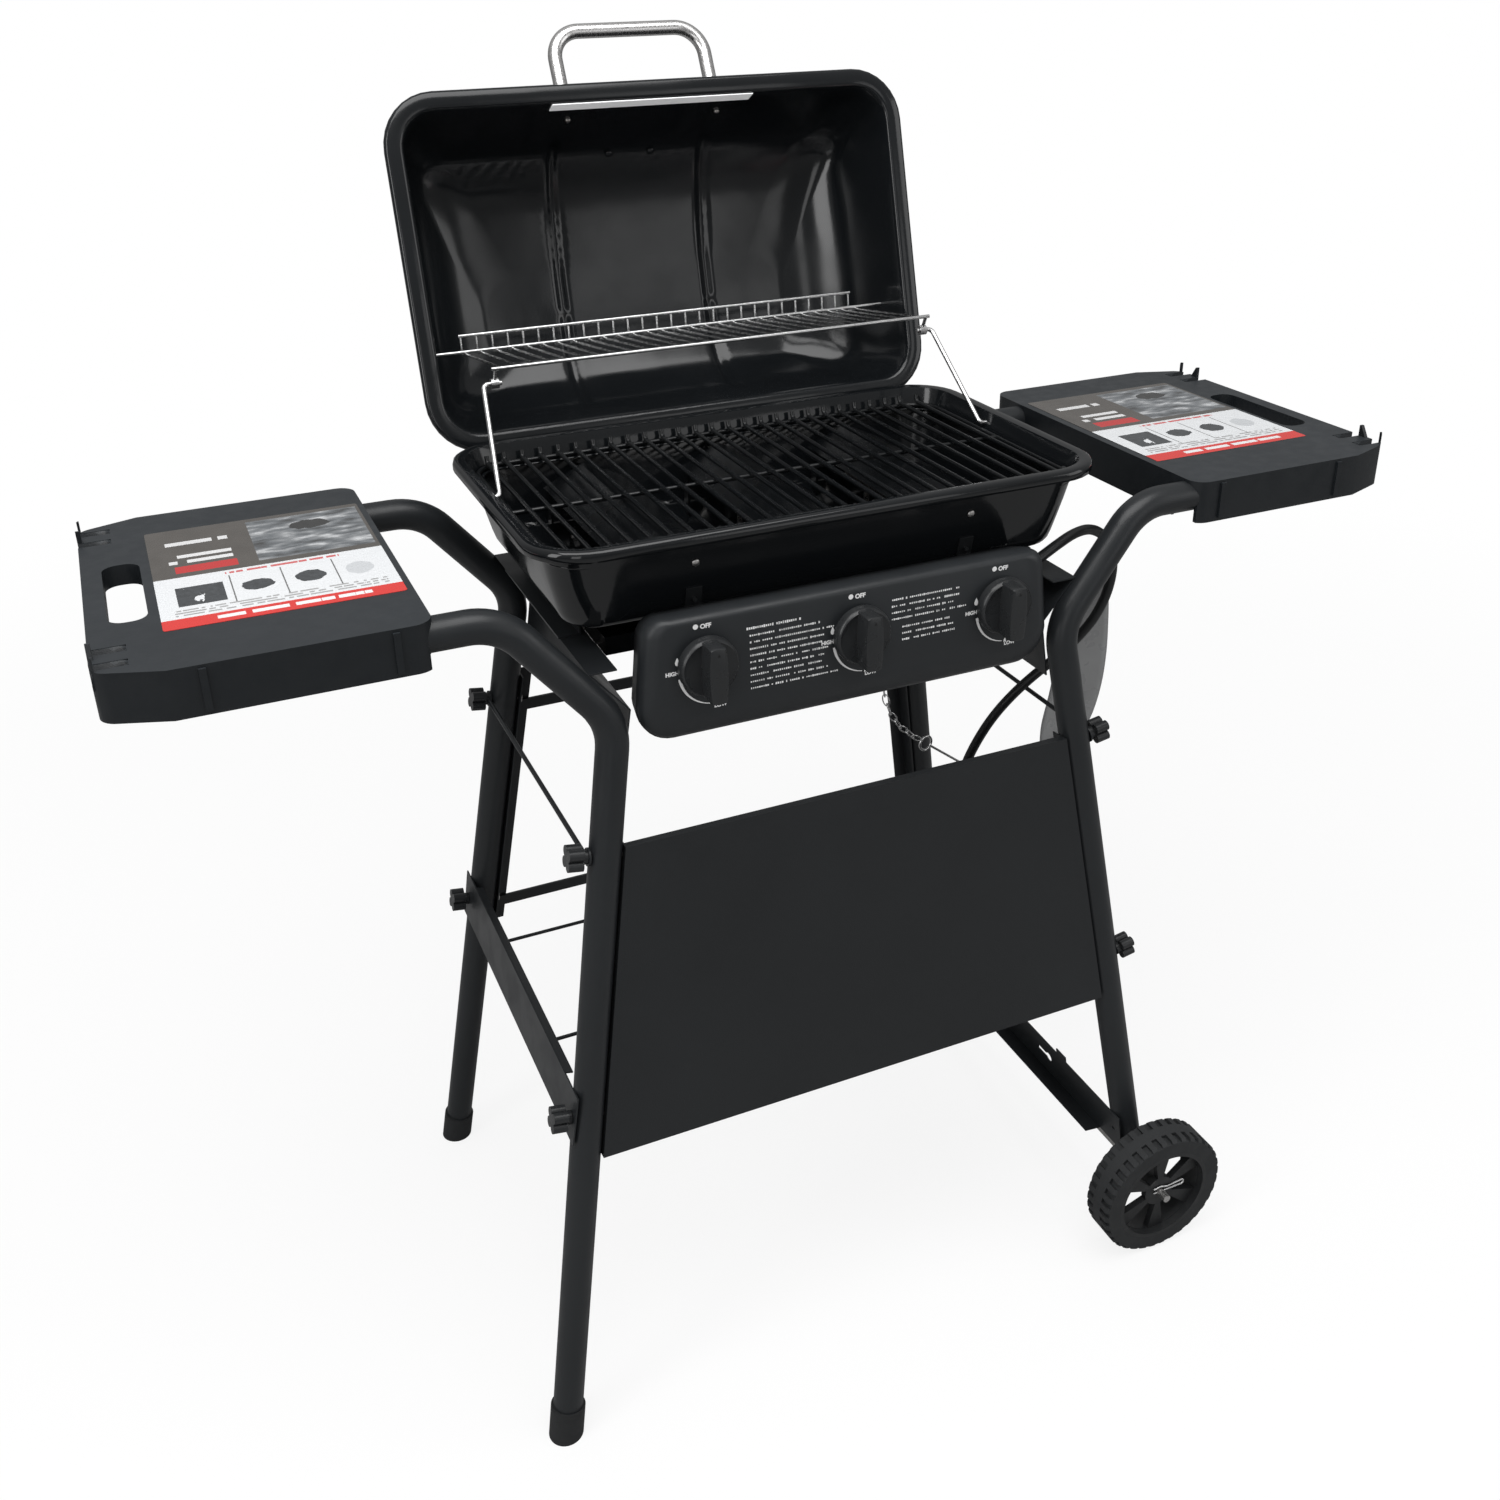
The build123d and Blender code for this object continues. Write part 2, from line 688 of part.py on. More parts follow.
def bowl_rails():
    """Bent sheet rails: they stand on the side plates' ledges and carry the bowl's sloping floor."""
    base = plate_top_z + rail_thick / 2 + snug
    under = rail_thick / 2 + 2 * snug
    ends = [(x, bowl_floor(x, floor_half_x, bowl_half_x) - under) for x in (rail_x, rail_x + rail_top)]
    line = [(rail_x + plate_ledge - 2 * rail_thick, base), (rail_x, base), *ends]
    rail = bent_sheet(line, rail_thick, middle_y - rail_y, middle_y + rail_y)
    for y in (-tray_hook_y, tray_hook_y):
        rail -= rod((floor_half_x, middle_y + y, rail_hole_z), (bowl_half_x, middle_y + y, rail_hole_z),
                    tray_hook_d + 2 * loose)
    return rail, to_left(rail)


def grease_tray():
    top = floor_z - tray_gap
    y0, y1 = middle_y - tray_half_y, middle_y + tray_half_y
    tray = block(-tray_half_x, tray_half_x, y0, y1, top - tray_depth, top)
    return tray - block(-tray_half_x + bowl_wall, tray_half_x - bowl_wall, y0 + bowl_wall, y1 - bowl_wall,
                        top - tray_depth + bowl_wall, top)


def tray_hook(y):
    """Wire hanger under the tray, hooked into both rails."""
    low = floor_z - tray_gap - tray_depth - tray_hook_d / 2 - 2 * running
    out = tray_half_x + tray_hook_out
    end = rail_x + 2 * rail_thick
    line = [(-end, rail_hole_z), (-out, rail_hole_z), (-out, low), (out, low), (out, rail_hole_z),
            (end, rail_hole_z)]
    return pipe([(x, middle_y + y, z) for x, z in line], tray_hook_r, tray_hook_d)


def cooking_grate():
    """Perimeter rod and cross rods, their ends turned up."""
    lean = bowl_lean(grate_z) + bowl_wall + grate_gap
    half_x, half_y = bowl_half_x - lean, bowl_half_y - lean
    corner_r = rim_corner_r - bowl_flange - lean
    path = Wire(rounded(half_x, half_y, corner_r, grate_z).wire())
    grate = sweep(Plane(origin=path @ 0, z_dir=path % 0) * Circle(grate_rod / 2), path)
    over = grate_z + grate_rod - bowl_wall / 2
    rods = [rod((-half_x, middle_y, grate_z), (half_x, middle_y, grate_z), grate_rod)]
    for i in range(grate_count):
        x = (i - (grate_count - 1) / 2) * grate_pitch
        into_corner = max(0, abs(x) - half_x + corner_r)
        reach = half_y - corner_r + math.sqrt(corner_r ** 2 - into_corner ** 2)
        line = [(middle_y - reach, over + grate_curl), (middle_y - reach + grate_rod / 2, over),
                (middle_y + reach - grate_rod / 2, over), (middle_y + reach, over + grate_curl)]
        rods.append(pipe([(x, y, z) for y, z in line], grate_rod, grate_rod))
    return grate.fuse(*rods)


def heat_plate(x):
    """Inverted-V sheet over a burner, its feet cut to the bowl's floor."""
    half = tent_width / 2
    line = [(x - half, tent_z), (x, tent_z + tent_height), (x + half, tent_z)]
    plate = bent_sheet(line, burner_wall, middle_y - tent_half, middle_y + tent_half)
    inside = bowl_body(bowl_wall + snug)
    for side in (-1, 1):
        for y in (middle_y - tent_foot_y, middle_y + tent_foot_y):
            edge = x + side * (half - burner_wall)
            foot = block(edge - burner_wall, edge + burner_wall, y - tent_foot / 2, y + tent_foot / 2,
                         floor_z, tent_z + burner_wall)
            plate += foot & inside
    return plate


# ---- burners and gas train --------------------------------------------------------------
burner_places = (-burner_x, 0, burner_x)


def venturi(x, wider=0.0):
    return pipe([(x, y, z) for y, z in venturi_route], venturi_bend_r, venturi_d + wider)


def burner(x):
    """Burner tube with gas ports on both sides, its venturi and a post to the bowl's floor."""
    tube = rod((x, burner_front_y, burner_z), (x, burner_back_y, burner_z), burner_d) + venturi(x)
    post = rod((x, burner_post_y, floor_z), (x, burner_post_y, burner_z), burner_post_d)
    tube += post & bowl_body(bowl_wall + snug)
    tube -= rod((x, burner_front_y + burner_wall, burner_z), (x, burner_back_y - burner_wall, burner_z),
                burner_d - 2 * burner_wall)
    tube -= venturi(x, -2 * burner_wall)
    first, last = burner_front_y + burner_d, burner_back_y - burner_d / 2
    ports = []
    for i in range(port_count):
        y = first + (last - first) * i / (port_count - 1)
        ports.append(rod((x - burner_d, y, burner_z), (x + burner_d, y, burner_z), port_d))
    return tube.cut(*ports)


def bracket_y(z):
    """Outside of the bowl's front wall at a height."""
    return middle_y - bowl_half_y + bowl_lean(z)


def gas_manifold():
    """Pipe with three valves, jets, two brackets on the bowl, an eye for the chain and the hose end."""
    body = rod((-burner_x - valve_size, manifold_y, valve_z), (manifold_end_x, manifold_y, valve_z),
               manifold_d)
    body += rod(run_on(hose_route[1::-1], fitting_len), hose_route[0], fitting_d)
    front = face_y + console_wall + snug
    for x in burner_places:
        body += block(x - valve_size / 2, x + valve_size / 2, front, manifold_y,
                      valve_z - valve_size / 2, valve_z + valve_size / 2)
        jet_z = valve_z + orifice_up
        body += rod((x, manifold_y, jet_z), (x, orifice_y, jet_z), orifice_d)
        body -= rod((x, front, valve_z), (x, front + valve_bore_len, valve_z), valve_bore)
    for x in (-bracket_x, bracket_x):
        off = sheet / 2 + 4 * snug
        bend_z = bowl_low_z + bowl_lip
        line = [(manifold_y, valve_z), (bracket_y(bend_z) - off, bend_z),
                (bracket_y(bracket_top_z) - off, bracket_top_z)]
        strap = cross_sheet(line, sheet, x - bracket_width / 2, x + bracket_width / 2)
        body += strap - rod((x, manifold_y - bowl_lip, bracket_screw_z), (x, manifold_y + bowl_lip,
                            bracket_screw_z), screw_d + 2 * snug)
    return body + rod(run_on(chain_route[1::-1], manifold_d / 2), chain_route[0], chain_d + sheet)


def bracket_screw(x):
    """Screw from inside the bowl through its leaning front wall and a manifold bracket."""
    inner = bracket_y(bracket_screw_z - screw_d) + bowl_wall + 2 * loose
    tip = bracket_y(bracket_screw_z) - 2 * bolt_head_h
    head = rod((x, inner, bracket_screw_z), (x, inner + bolt_head_h, bracket_screw_z), 2 * screw_d)
    return head + rod((x, tip, bracket_screw_z), (x, inner, bracket_screw_z), screw_d)


def cross_sheet(line, thick, x0, x1):
    """Sheet whose middle follows a line of points in the YZ plane, from x0 to x1."""
    return Rot(0, 0, 90) * bent_sheet(line, thick, -x1, -x0)


# ---- control panel and knobs ------------------------------------------------------------
def console_shape(inset):
    """Full shape of the control panel, a distance inside its outer surface."""
    low, high = console_low_z + inset, console_high_z - inset
    face, half = face_y + inset, console_half_x - inset
    front = Plane(origin=(0, console_back_y, 0), x_dir=(1, 0, 0), z_dir=(0, -1, 0))
    outline = make_face(Polyline((-half, low), (half, low), (half, high), (-half, high), close=True))
    outline = fillet(outline.vertices().group_by(Axis.Y)[0], console_corner_r - inset)
    profile = Polyline((console_back_y, low), (face + console_bevel_in, low), (face, low + console_bevel),
                       (face, high - console_chamfer), (face + console_chamfer, high),
                       (console_back_y, high), close=True)
    side = Plane(origin=(-half, 0, 0), x_dir=(0, 1, 0), z_dir=(1, 0, 0))
    return extrude(front * outline, console_back_y - face) & extrude(side * make_face(profile), 2 * half)


def control_panel():
    """Panel open at the back, with a hole for each stem and a notch for the hose."""
    shell = console_shape(0) - console_shape(console_wall)
    holes = [rod((x, face_y - loose, valve_z), (x, face_y + 2 * console_wall, valve_z), stem_d + 2 * loose)
             for x in burner_places]
    way = (Vector(*hose_route[0]) + Vector(*hose_route[1])) / 2
    holes.append(block(console_half_x - 2 * console_wall, console_half_x + loose, way.Y - hose_d,
                       console_back_y, way.Z - hose_d, way.Z + hose_d))
    return shell.cut(*holes)


def knob_back():
    return face_y - knob_gap


def knob(x):
    """Round skirt with a grip bar, bored from the back for the stem."""
    low = (Align.CENTER, Align.CENTER, Align.MIN)
    body = Cylinder(knob_d / 2, knob_skirt, align=low)
    grip = Box(knob_grip_width, knob_d, knob_grip, align=low) & Cylinder(knob_d / 2, knob_grip, align=low)
    body += Pos(0, 0, knob_skirt) * grip
    body -= Cylinder(stem_d / 2 + snug, knob_bore_len, align=low)
    return Plane(origin=(x, knob_back(), valve_z), x_dir=(1, 0, 0), z_dir=(0, -1, 0)) * body


def stem(x):
    """Valve stem: from inside the valve to the end of the knob's bore."""
    inner = face_y + console_wall + valve_bore_len - push_travel - 2 * loose
    return rod((x, knob_back() - knob_bore_len + snug, valve_z), (x, inner, valve_z), stem_d)


def spring_seat(x):
    """Collar in the valve's bore that the spring holds forward; it guides the stem."""
    front = face_y + console_wall + 2 * loose
    collar = rod((x, front, valve_z), (x, front + seat_len, valve_z), valve_bore - 2 * running)
    return collar - rod((x, front, valve_z), (x, front + seat_len, valve_z), stem_d + 2 * running)


# ---- lid, modelled closed and then opened -------------------------------------------------
lid_z = rim_z + lid_gap
lid_foot_x = lid_half_x - lid_flange
lid_foot_y = lid_half_y - lid_flange


def opened(shape):
    return shape.rotate(hinge, -open_angle)


def lid_body(inset):
    """Full shape of the lid, a distance inside its outer surface."""
    faces = []
    for height, side, front, back in lid_shape:
        half_x, half_y = lid_foot_x - side - inset, lid_foot_y - (front + back) / 2 - inset
        z = lid_z + height - (inset if height else 0)
        faces.append(rounded(half_x, half_y, lid_corner_r - inset, z, middle_y + (front - back) / 2).face())
    return loft(faces, ruled=True)


def lid():
    shell = lid_body(0) - lid_body(lid_wall)
    shell += ring(lid_half_x, lid_half_y, lid_rim_r, lid_flange + lid_wall / 2, lid_z, lid_wall)
    shell += ring(lid_half_x, lid_half_y, lid_rim_r, lid_wall, lid_z, lid_lip)
    holes = [front_wall(handle_up) * Pos(x, 0, 0) * Cylinder(bolt_d / 2 + snug, lid_flange)
             for x in (-handle_half, handle_half)]
    pivot = (hinge_y + rack_pivot_y, hinge_z + rack_pivot_z)
    open_lid = opened(shell.cut(*holes))
    return open_lid - rod((-lid_half_x, *pivot), (lid_half_x, *pivot), rack_rod + 2 * running)


def front_wall(height):
    """Plane on the outside of the closed lid's front wall, at a height above its rim, Z outward."""
    rise, lean = lid_shape[1][0], lid_shape[1][2]
    y = middle_y - lid_foot_y + lean * height / rise
    return Plane(origin=(0, y, lid_z + height), x_dir=(1, 0, 0), z_dir=(0, -rise, lean))


def lid_handle():
    rise = handle_rise - handle_d / 2
    line = [(-handle_half, 0), (-handle_half, rise), (handle_half, rise), (handle_half, 0)]
    bar = pipe([(x, 0, z) for x, z in line], handle_bend_r, handle_d)
    for x in (-handle_half, handle_half):
        bar -= Pos(x, 0, 0) * Cylinder(bolt_d / 2 + snug, 2 * handle_screw_len)
    return opened(front_wall(handle_up) * bar)


def handle_screw(x):
    """Screw from inside the lid into the handle."""
    inside = -lid_wall - inner_gap
    head = rod((x, 0, inside - bolt_head_h), (x, 0, inside), bolt_head_d)
    shank = rod((x, 0, inside), (x, 0, handle_screw_len - loose), bolt_d)
    return opened(front_wall(handle_up) * (head + shank))


def heat_strip():
    """Flat strip on the inside of the lid's front wall."""
    z = -lid_wall - inner_gap / 2 - strip_thick / 2
    return opened(front_wall(strip_up) * Pos(0, 0, z) * Box(2 * strip_half, strip_high, strip_thick))


# ---- hinges ---------------------------------------------------------------------------------
def knuckle(x0, x1, leaf):
    """Hinge leaf with its knuckle, bored for the pin."""
    eye = rod((x0, hinge_y, hinge_z), (x1, hinge_y, hinge_z), knuckle_d)
    bore = rod((x0 - loose, hinge_y, hinge_z), (x1 + loose, hinge_y, hinge_z), hinge_pin_d + 2 * running)
    return cross_sheet(leaf, leaf_thick, x0, x1) + eye - bore


def bowl_leaf(x):
    """Leaf on the bowl's rear wall, under its lip."""
    off = leaf_thick / 2 + 2 * snug
    bend = hinge_z - knuckle_d
    under = hinge_z - knuckle_d / 2 + leaf_thick / 2
    line = [(middle_y + bowl_half_y - bowl_lean(z) + off, z) for z in (leaf_low_z, bend)]
    line += [(line[-1][0] + knuckle_d / 2, under), (hinge_y, under)]
    return knuckle(x - knuckle_len - loose / 2, x - loose / 2, line)


def lid_leaf(x):
    """Leaf that goes round the lid's rim to its rear wall."""
    rise, lean = lid_shape[1][0], lid_shape[1][3]
    off = leaf_thick / 2 + 2 * snug
    behind = hinge_y + knuckle_d / 2 - leaf_thick / 2
    over = lid_z + lid_lip + 2 * leaf_thick
    wall = [(middle_y + lid_foot_y - lean * (z - lid_z) / rise + off, z) for z in (over, lid_z + leaf_high)]
    line = [(behind, hinge_z), (behind, lid_z), (middle_y + lid_half_y + 2 * leaf_thick, over), *wall]
    return opened(knuckle(x + loose / 2, x + knuckle_len + loose / 2, line))


def hinge_pin(x):
    half = knuckle_len + loose / 2 + inner_gap
    pin = rod((x - half, hinge_y, hinge_z), (x + half, hinge_y, hinge_z), hinge_pin_d)
    for end in (x - half - pin_head, x + half):
        pin += rod((end, hinge_y, hinge_z), (end + pin_head, hinge_y, hinge_z), pin_head_d)
    return pin


# ---- warming rack and swing arms --------------------------------------------------------------
def rack_eye():
    """Centre of the rack's front eyes, level with the rack pivot less the arm's offset."""
    return (hinge_y + arm_pivot_y + rack_pivot_y, hinge_z + arm_pivot_z + rack_pivot_z)


def warming_rack():
    """Wire rack with a fence at the back, a pivot rod through the lid and two front eyes."""
    pivot_y, pivot_z = hinge_y + rack_pivot_y, hinge_z + rack_pivot_z
    eye_y, eye_z = rack_eye()
    front = (eye_y - rack_front_out, eye_z + rack_front_up)
    under = pivot_z - rack_rod / 2 - rack_wire / 4
    back = (pivot_y + fence_back, under - fence_drop)
    top = (back[0] + fence_lean, back[1] + fence_high)
    reach = lid_foot_x - lid_shape[1][1] + rack_rod
    end = rack_half + rack_rod
    rods = [rod((-end, *front), (end, *front), rack_rod),
            rod((-reach, pivot_y, pivot_z), (reach, pivot_y, pivot_z), rack_rod),
            rod((-fence_half, *top), (fence_half, *top), rack_rod)]
    for i in range(rack_wires):
        x = (i / (rack_wires - 1) - 0.5) * 2 * (fence_half - rack_rod / 2)
        line = [front, (pivot_y, under), back, top]
        rods.append(pipe([(x, y, z) for y, z in line], 2 * rack_wire, rack_wire))
    bores = []
    for x in (-rack_half, rack_half):
        eye = swing_rod + 2 * open_pivot_gap
        ends = ((x - eye_len / 2, eye_y, eye_z), (x + eye_len / 2, eye_y, eye_z))
        rods.append(rod(*ends, eye + 2 * eye_wall))
        rods.append(rod((x, *front), (x, eye_y, eye_z), rack_rod - 4 * snug))
        bores.append(rod(*ends, eye))
    return rods[0].fuse(*rods[1:]).cut(*bores)


def swing_arm():
    """Right arm: pivots in the bowl's side wall and holds the rack's front eye."""
    low = (hinge_y + arm_pivot_y, hinge_z + arm_pivot_z)
    line = [(swing_out_x, *low), (swing_low_x, *low), (swing_high_x, *rack_eye()), (swing_in_x, *rack_eye())]
    return pipe(line, swing_bend_r, swing_rod)


# ---- shelves ------------------------------------------------------------------------------------
def shelf_outline(inset, z):
    half, end = shelf_half_y - inset, shelf_end_half_y - inset
    outer = shelf_outer_x - inset
    points = [(shelf_inner_x + inset, -half), (shelf_kink_x, -half), (outer, -end), (outer, end),
              (shelf_kink_x, half), (shelf_inner_x + inset, half)]
    face = make_face(Polyline(*points, close=True))
    corners_here = face.vertices().group_by(Axis.X)
    face = fillet([*corners_here[0], *corners_here[-1]], shelf_corner_r - inset)
    return Pos(0, middle_y, z) * face


def shelf():
    """Right shelf: a hollow tray turned over, with saddles on the arms, a slot and tool hooks."""
    low = shelf_top_z - shelf_skirt
    body = extrude(shelf_outline(0, low), shelf_skirt)
    body -= extrude(shelf_outline(shelf_skin, low), shelf_skirt - shelf_skin)
    arm_y = leg_y(arm_z)
    under = shelf_top_z - shelf_skin
    cuts = []
    for y in (-arm_y, arm_y):
        half = tube_r + saddle_rim
        for x in saddle_x:
            body += block(x - saddle_thick / 2, x + saddle_thick / 2, y - half, y + half,
                          arm_z - half, under)
        arm = rod((shelf_inner_x - shelf_skin, y, arm_z), (arm_end_x, y, arm_z), tube_d + 2 * snug)
        mouth = block(shelf_inner_x - shelf_skin, shelf_inner_x + 2 * shelf_skin, y - tube_r - loose,
                      y + tube_r + loose, low, arm_z)
        cuts += [arm & block(shelf_inner_x - shelf_skin, arm_end_x, y - half, y + half, low, under), mouth]
    slot_x = (slot_in_x + slot_out_x) / 2
    slot = Pos(slot_x, slot_y, shelf_top_z - slot_wall)
    width, length = slot_out_x - slot_in_x, 2 * slot_half_y
    rim = 2 * shelf_skin
    body += extrude(slot * RectangleRounded(width + rim, length + rim, slot_r + shelf_skin), slot_wall)
    cuts.append(extrude(slot * RectangleRounded(width, length, slot_r), slot_wall))
    for side in (-1, 1):
        for near in (notch_near, notch_far):
            y0 = middle_y + side * near
            y1 = y0 + side * notch_width
            cuts.append(block(shelf_outer_x - notch_len, shelf_outer_x + loose, min(y0, y1), max(y0, y1),
                              shelf_top_z - notch_depth, shelf_top_z))
    body = body.cut(*cuts)
    for side in (-1, 1):
        for near in (notch_near, notch_far):
            body += horn(middle_y + side * (near + notch_width), side)
    return body


def horn(y, side):
    """Pointed tool hook on the outer edge, beside a notch."""
    root = shelf_top_z - shelf_skin
    line = [(y, root), (y, shelf_top_z + horn_high), (y + side * horn_width / 4, shelf_top_z + horn_high),
            (y + side * horn_width, shelf_top_z), (y + side * horn_width, root)]
    plane = Plane(origin=(shelf_outer_x - horn_thick, 0, 0), x_dir=(0, 1, 0), z_dir=(1, 0, 0))
    prong = extrude(plane * make_face(Polyline(*line, close=True)), horn_thick)
    return prong & extrude(shelf_outline(0, root), shelf_skin + horn_high)


# ---- hose, regulator and lighter chain ------------------------------------------------------------
def cord(name, route, diameter):
    """Cord along straight runs, each bend as large as its two runs allow."""
    points = [Vector(*point) for point in route]
    radii = []
    for before, here, after in zip(points, points[1:], points[2:]):
        turn = math.radians((here - before).get_angle(after - here))
        run = min((here - before).length, (after - here).length)
        radii.append(cord_share * run / math.tan(turn / 2))
    path = FilletPolyline(*points, radius=radii)
    tube = sweep(Plane(origin=path @ 0, z_dir=path % 0) * Circle(diameter / 2), path)
    print(name, "radii", [round(r) for r in radii], "volume over section times length",
          round(tube.volume / (math.pi * diameter ** 2 / 4 * path.length), 4))
    return tube


def run_on(route, distance):
    """Point beyond the end of a route, straight on."""
    last, end = Vector(*route[-2]), Vector(*route[-1])
    return end + (end - last).normalized() * distance


def regulator():
    """Round regulator with its hose fitting, hanging on the hose."""
    start = Vector(*hose_route[-1])
    fitting = rod(start, run_on(hose_route, fitting_len + 2 * sheet), fitting_d)
    middle = run_on(hose_route, fitting_len + regulator_d / 2)
    body = rod(middle - Vector(0, regulator_thick / 2, 0), middle + Vector(0, regulator_thick / 2, 0),
               regulator_d)
    return fitting + body


def match_holder():
    """Wire ring on the chain with a straight wire below it."""
    middle = run_on(chain_route, holder_ring_r + holder_d / 2)
    along = run_on(chain_route, 1) - run_on(chain_route, 0)
    loop = Plane(origin=middle, z_dir=along.cross(Vector(0, 0, 1))) * Torus(holder_ring_r, holder_d / 2)
    return loop + rod(middle + along * holder_ring_r, middle + along * holder_len, holder_d)


# ---- all pieces -------------------------------------------------------------------------------------
bolts, wings = [], []
for name, carry in corners.items():
    wheeled = "right" in name
    leg = lower_leg(axle_z - wheel_leg_end if wheeled else capped_foot_z)
    if wheeled:
        leg -= axle_line(axle_d + 2 * running, 2 * leg_foot_y)
    else:
        add(f"{name}_foot_cap", carry(foot_cap()))
    add(f"{name}_lower_leg", carry(leg))
    add(f"{name}_upper_tube", carry(upper_tube()))
    for z in (knob_low_z, knob_high_z):
        bolts.append(carry(frame_bolt(z, knob_place(name, z))))
        wings.append(carry(wing_knob(z, knob_place(name, z))))
add("frame_bolts", *bolts)
add("wing_knobs", *wings)
add("right_side_plate", side_plate())
add("left_side_plate", to_left(side_plate()))
add("front_panel", front_panel())
add("rear_frame", *rear_frame())
add("left_brace", left_brace())
add("axle_channel", axle_channel())
add("tie_rods", tie_rod(), to_left(tie_rod()))
add("bottle_guard", bottle_guard())

tyre, hub = wheel_pieces()
add("front_wheel_tyre", tyre)
add("front_wheel_hub", hub)
add("rear_wheel_tyre", to_back(tyre))
add("rear_wheel_hub", to_back(hub))
add("axle", axle())
add("hitch_pins", hitch_pin(-1), hitch_pin(1))

add("fire_bowl", fire_bowl())
add("bowl_rails", *bowl_rails())
add("grease_tray", grease_tray())
add("tray_hooks", tray_hook(-tray_hook_y), tray_hook(tray_hook_y))
add("cooking_grate", cooking_grate())
add("heat_plates", *[heat_plate(x) for x in burner_places])
add("burners", *[burner(x) for x in burner_places])
add("gas_manifold", gas_manifold(), bracket_screw(-bracket_x), bracket_screw(bracket_x))
add("control_panel", control_panel())
for name, x in zip(("left", "middle", "right"), burner_places):
    add(f"{name}_knob", knob(x))
    add(f"{name}_stem", stem(x))
    add(f"{name}_spring_seat", spring_seat(x))

add("lid", lid())
add("lid_handle", lid_handle())
add("handle_screws", handle_screw(-handle_half), handle_screw(handle_half))
add("lid_heat_strip", heat_strip())
hinge_places = (-hinge_half_x, hinge_half_x)
add("bowl_hinge_leaves", *[bowl_leaf(x) for x in hinge_places])
add("lid_hinge_leaves", *[lid_leaf(x) for x in hinge_places])
add("hinge_pins", *[hinge_pin(x) for x in hinge_places])
add("warming_rack", warming_rack())
add("right_swing_arm", swing_arm())
add("left_swing_arm", to_left(swing_arm()))

add("right_shelf", shelf())
add("left_shelf", to_left(shelf()))
add("gas_hose", cord("hose", hose_route, hose_d))
add("gas_regulator", regulator())
add("match_chain", cord("chain", chain_route, chain_d))
add("match_holder", match_holder())

box = Compound(children=[Pos() * shape for shape in parts.values()]).bounding_box()
home = Pos(-(box.min.X + box.max.X) / 2, -(box.min.Y + box.max.Y) / 2, -box.min.Z)
print("moved by", [round(v, 3) for v in home.position])
for name, shape in parts.items():
    export_step(home * shape, f"parts/{name}.step")
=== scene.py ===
import bmesh
import bpy
import json
import math
from mathutils import Matrix, Vector


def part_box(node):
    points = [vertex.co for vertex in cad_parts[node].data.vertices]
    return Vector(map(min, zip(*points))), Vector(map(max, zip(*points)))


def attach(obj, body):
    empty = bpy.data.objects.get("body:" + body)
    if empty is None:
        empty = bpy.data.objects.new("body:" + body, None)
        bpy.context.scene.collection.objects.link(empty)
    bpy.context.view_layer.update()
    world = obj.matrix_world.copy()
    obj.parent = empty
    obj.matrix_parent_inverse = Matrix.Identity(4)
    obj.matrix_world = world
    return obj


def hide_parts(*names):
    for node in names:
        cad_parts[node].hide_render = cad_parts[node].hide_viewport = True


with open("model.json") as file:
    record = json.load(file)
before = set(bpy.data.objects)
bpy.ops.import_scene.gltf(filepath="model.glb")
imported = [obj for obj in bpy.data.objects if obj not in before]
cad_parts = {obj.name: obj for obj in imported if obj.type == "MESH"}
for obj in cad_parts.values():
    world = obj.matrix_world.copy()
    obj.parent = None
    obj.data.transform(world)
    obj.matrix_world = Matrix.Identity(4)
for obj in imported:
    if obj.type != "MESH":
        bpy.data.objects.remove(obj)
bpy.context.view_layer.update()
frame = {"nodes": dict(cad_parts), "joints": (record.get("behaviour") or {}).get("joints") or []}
nodes = frame["nodes"]
bowlLow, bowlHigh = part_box("fire_bowl")
middleBack = 18.0  # the bowl's middle lies this far behind the legs' middle, in millimetres
home = Vector((0, (bowlLow.y + bowlHigh.y) / 2 - middleBack / 1000, 0))
print("frame loaded:", len(nodes), "parts")


def at(x, y, z):
    return home + Vector((x, y, z)) / 1000


# node trees

class Link:
    def __init__(self, graph, socket):
        self.graph, self.socket = graph, socket

    def maths(self, operation, *values):
        return self.graph.add("ShaderNodeMath", {"operation": operation}, values)

    def __add__(self, other):
        return self.maths("ADD", self, other)

    def __radd__(self, other):
        return self.maths("ADD", other, self)

    def __sub__(self, other):
        return self.maths("SUBTRACT", self, other)

    def __rsub__(self, other):
        return self.maths("SUBTRACT", other, self)

    def __mul__(self, other):
        return self.maths("MULTIPLY", self, other)

    def __rmul__(self, other):
        return self.maths("MULTIPLY", other, self)

    def __truediv__(self, other):
        return self.maths("DIVIDE", self, other)

    def __abs__(self):
        return self.maths("ABSOLUTE", self)

    def __lt__(self, other):
        return self.maths("LESS_THAN", self, other)

    def __gt__(self, other):
        return self.maths("GREATER_THAN", self, other)

    def __mod__(self, other):
        return self.maths("FLOORED_MODULO", self, other)


class Graph:
    def __init__(self, tree):
        self.tree = tree

    def add(self, kind, settings=None, values=(), out=0):
        node = self.tree.nodes.new(kind)
        for key, value in (settings or {}).items():
            if key == "stops":
                stops = node.color_ramp.elements
                while len(stops) < len(value):
                    stops.new(1)
                for stop, (place, colour) in zip(stops, value):
                    stop.position, stop.color = place, colour
            else:
                setattr(node, key, value)
        self.feed(node, values)
        return Link(self, node.outputs[out])

    def feed(self, node, values):
        pairs = values.items() if isinstance(values, dict) else enumerate(values)
        for key, value in pairs:
            if isinstance(value, Link):
                self.tree.links.new(value.socket, node.inputs[key])
            else:
                node.inputs[key].default_value = value


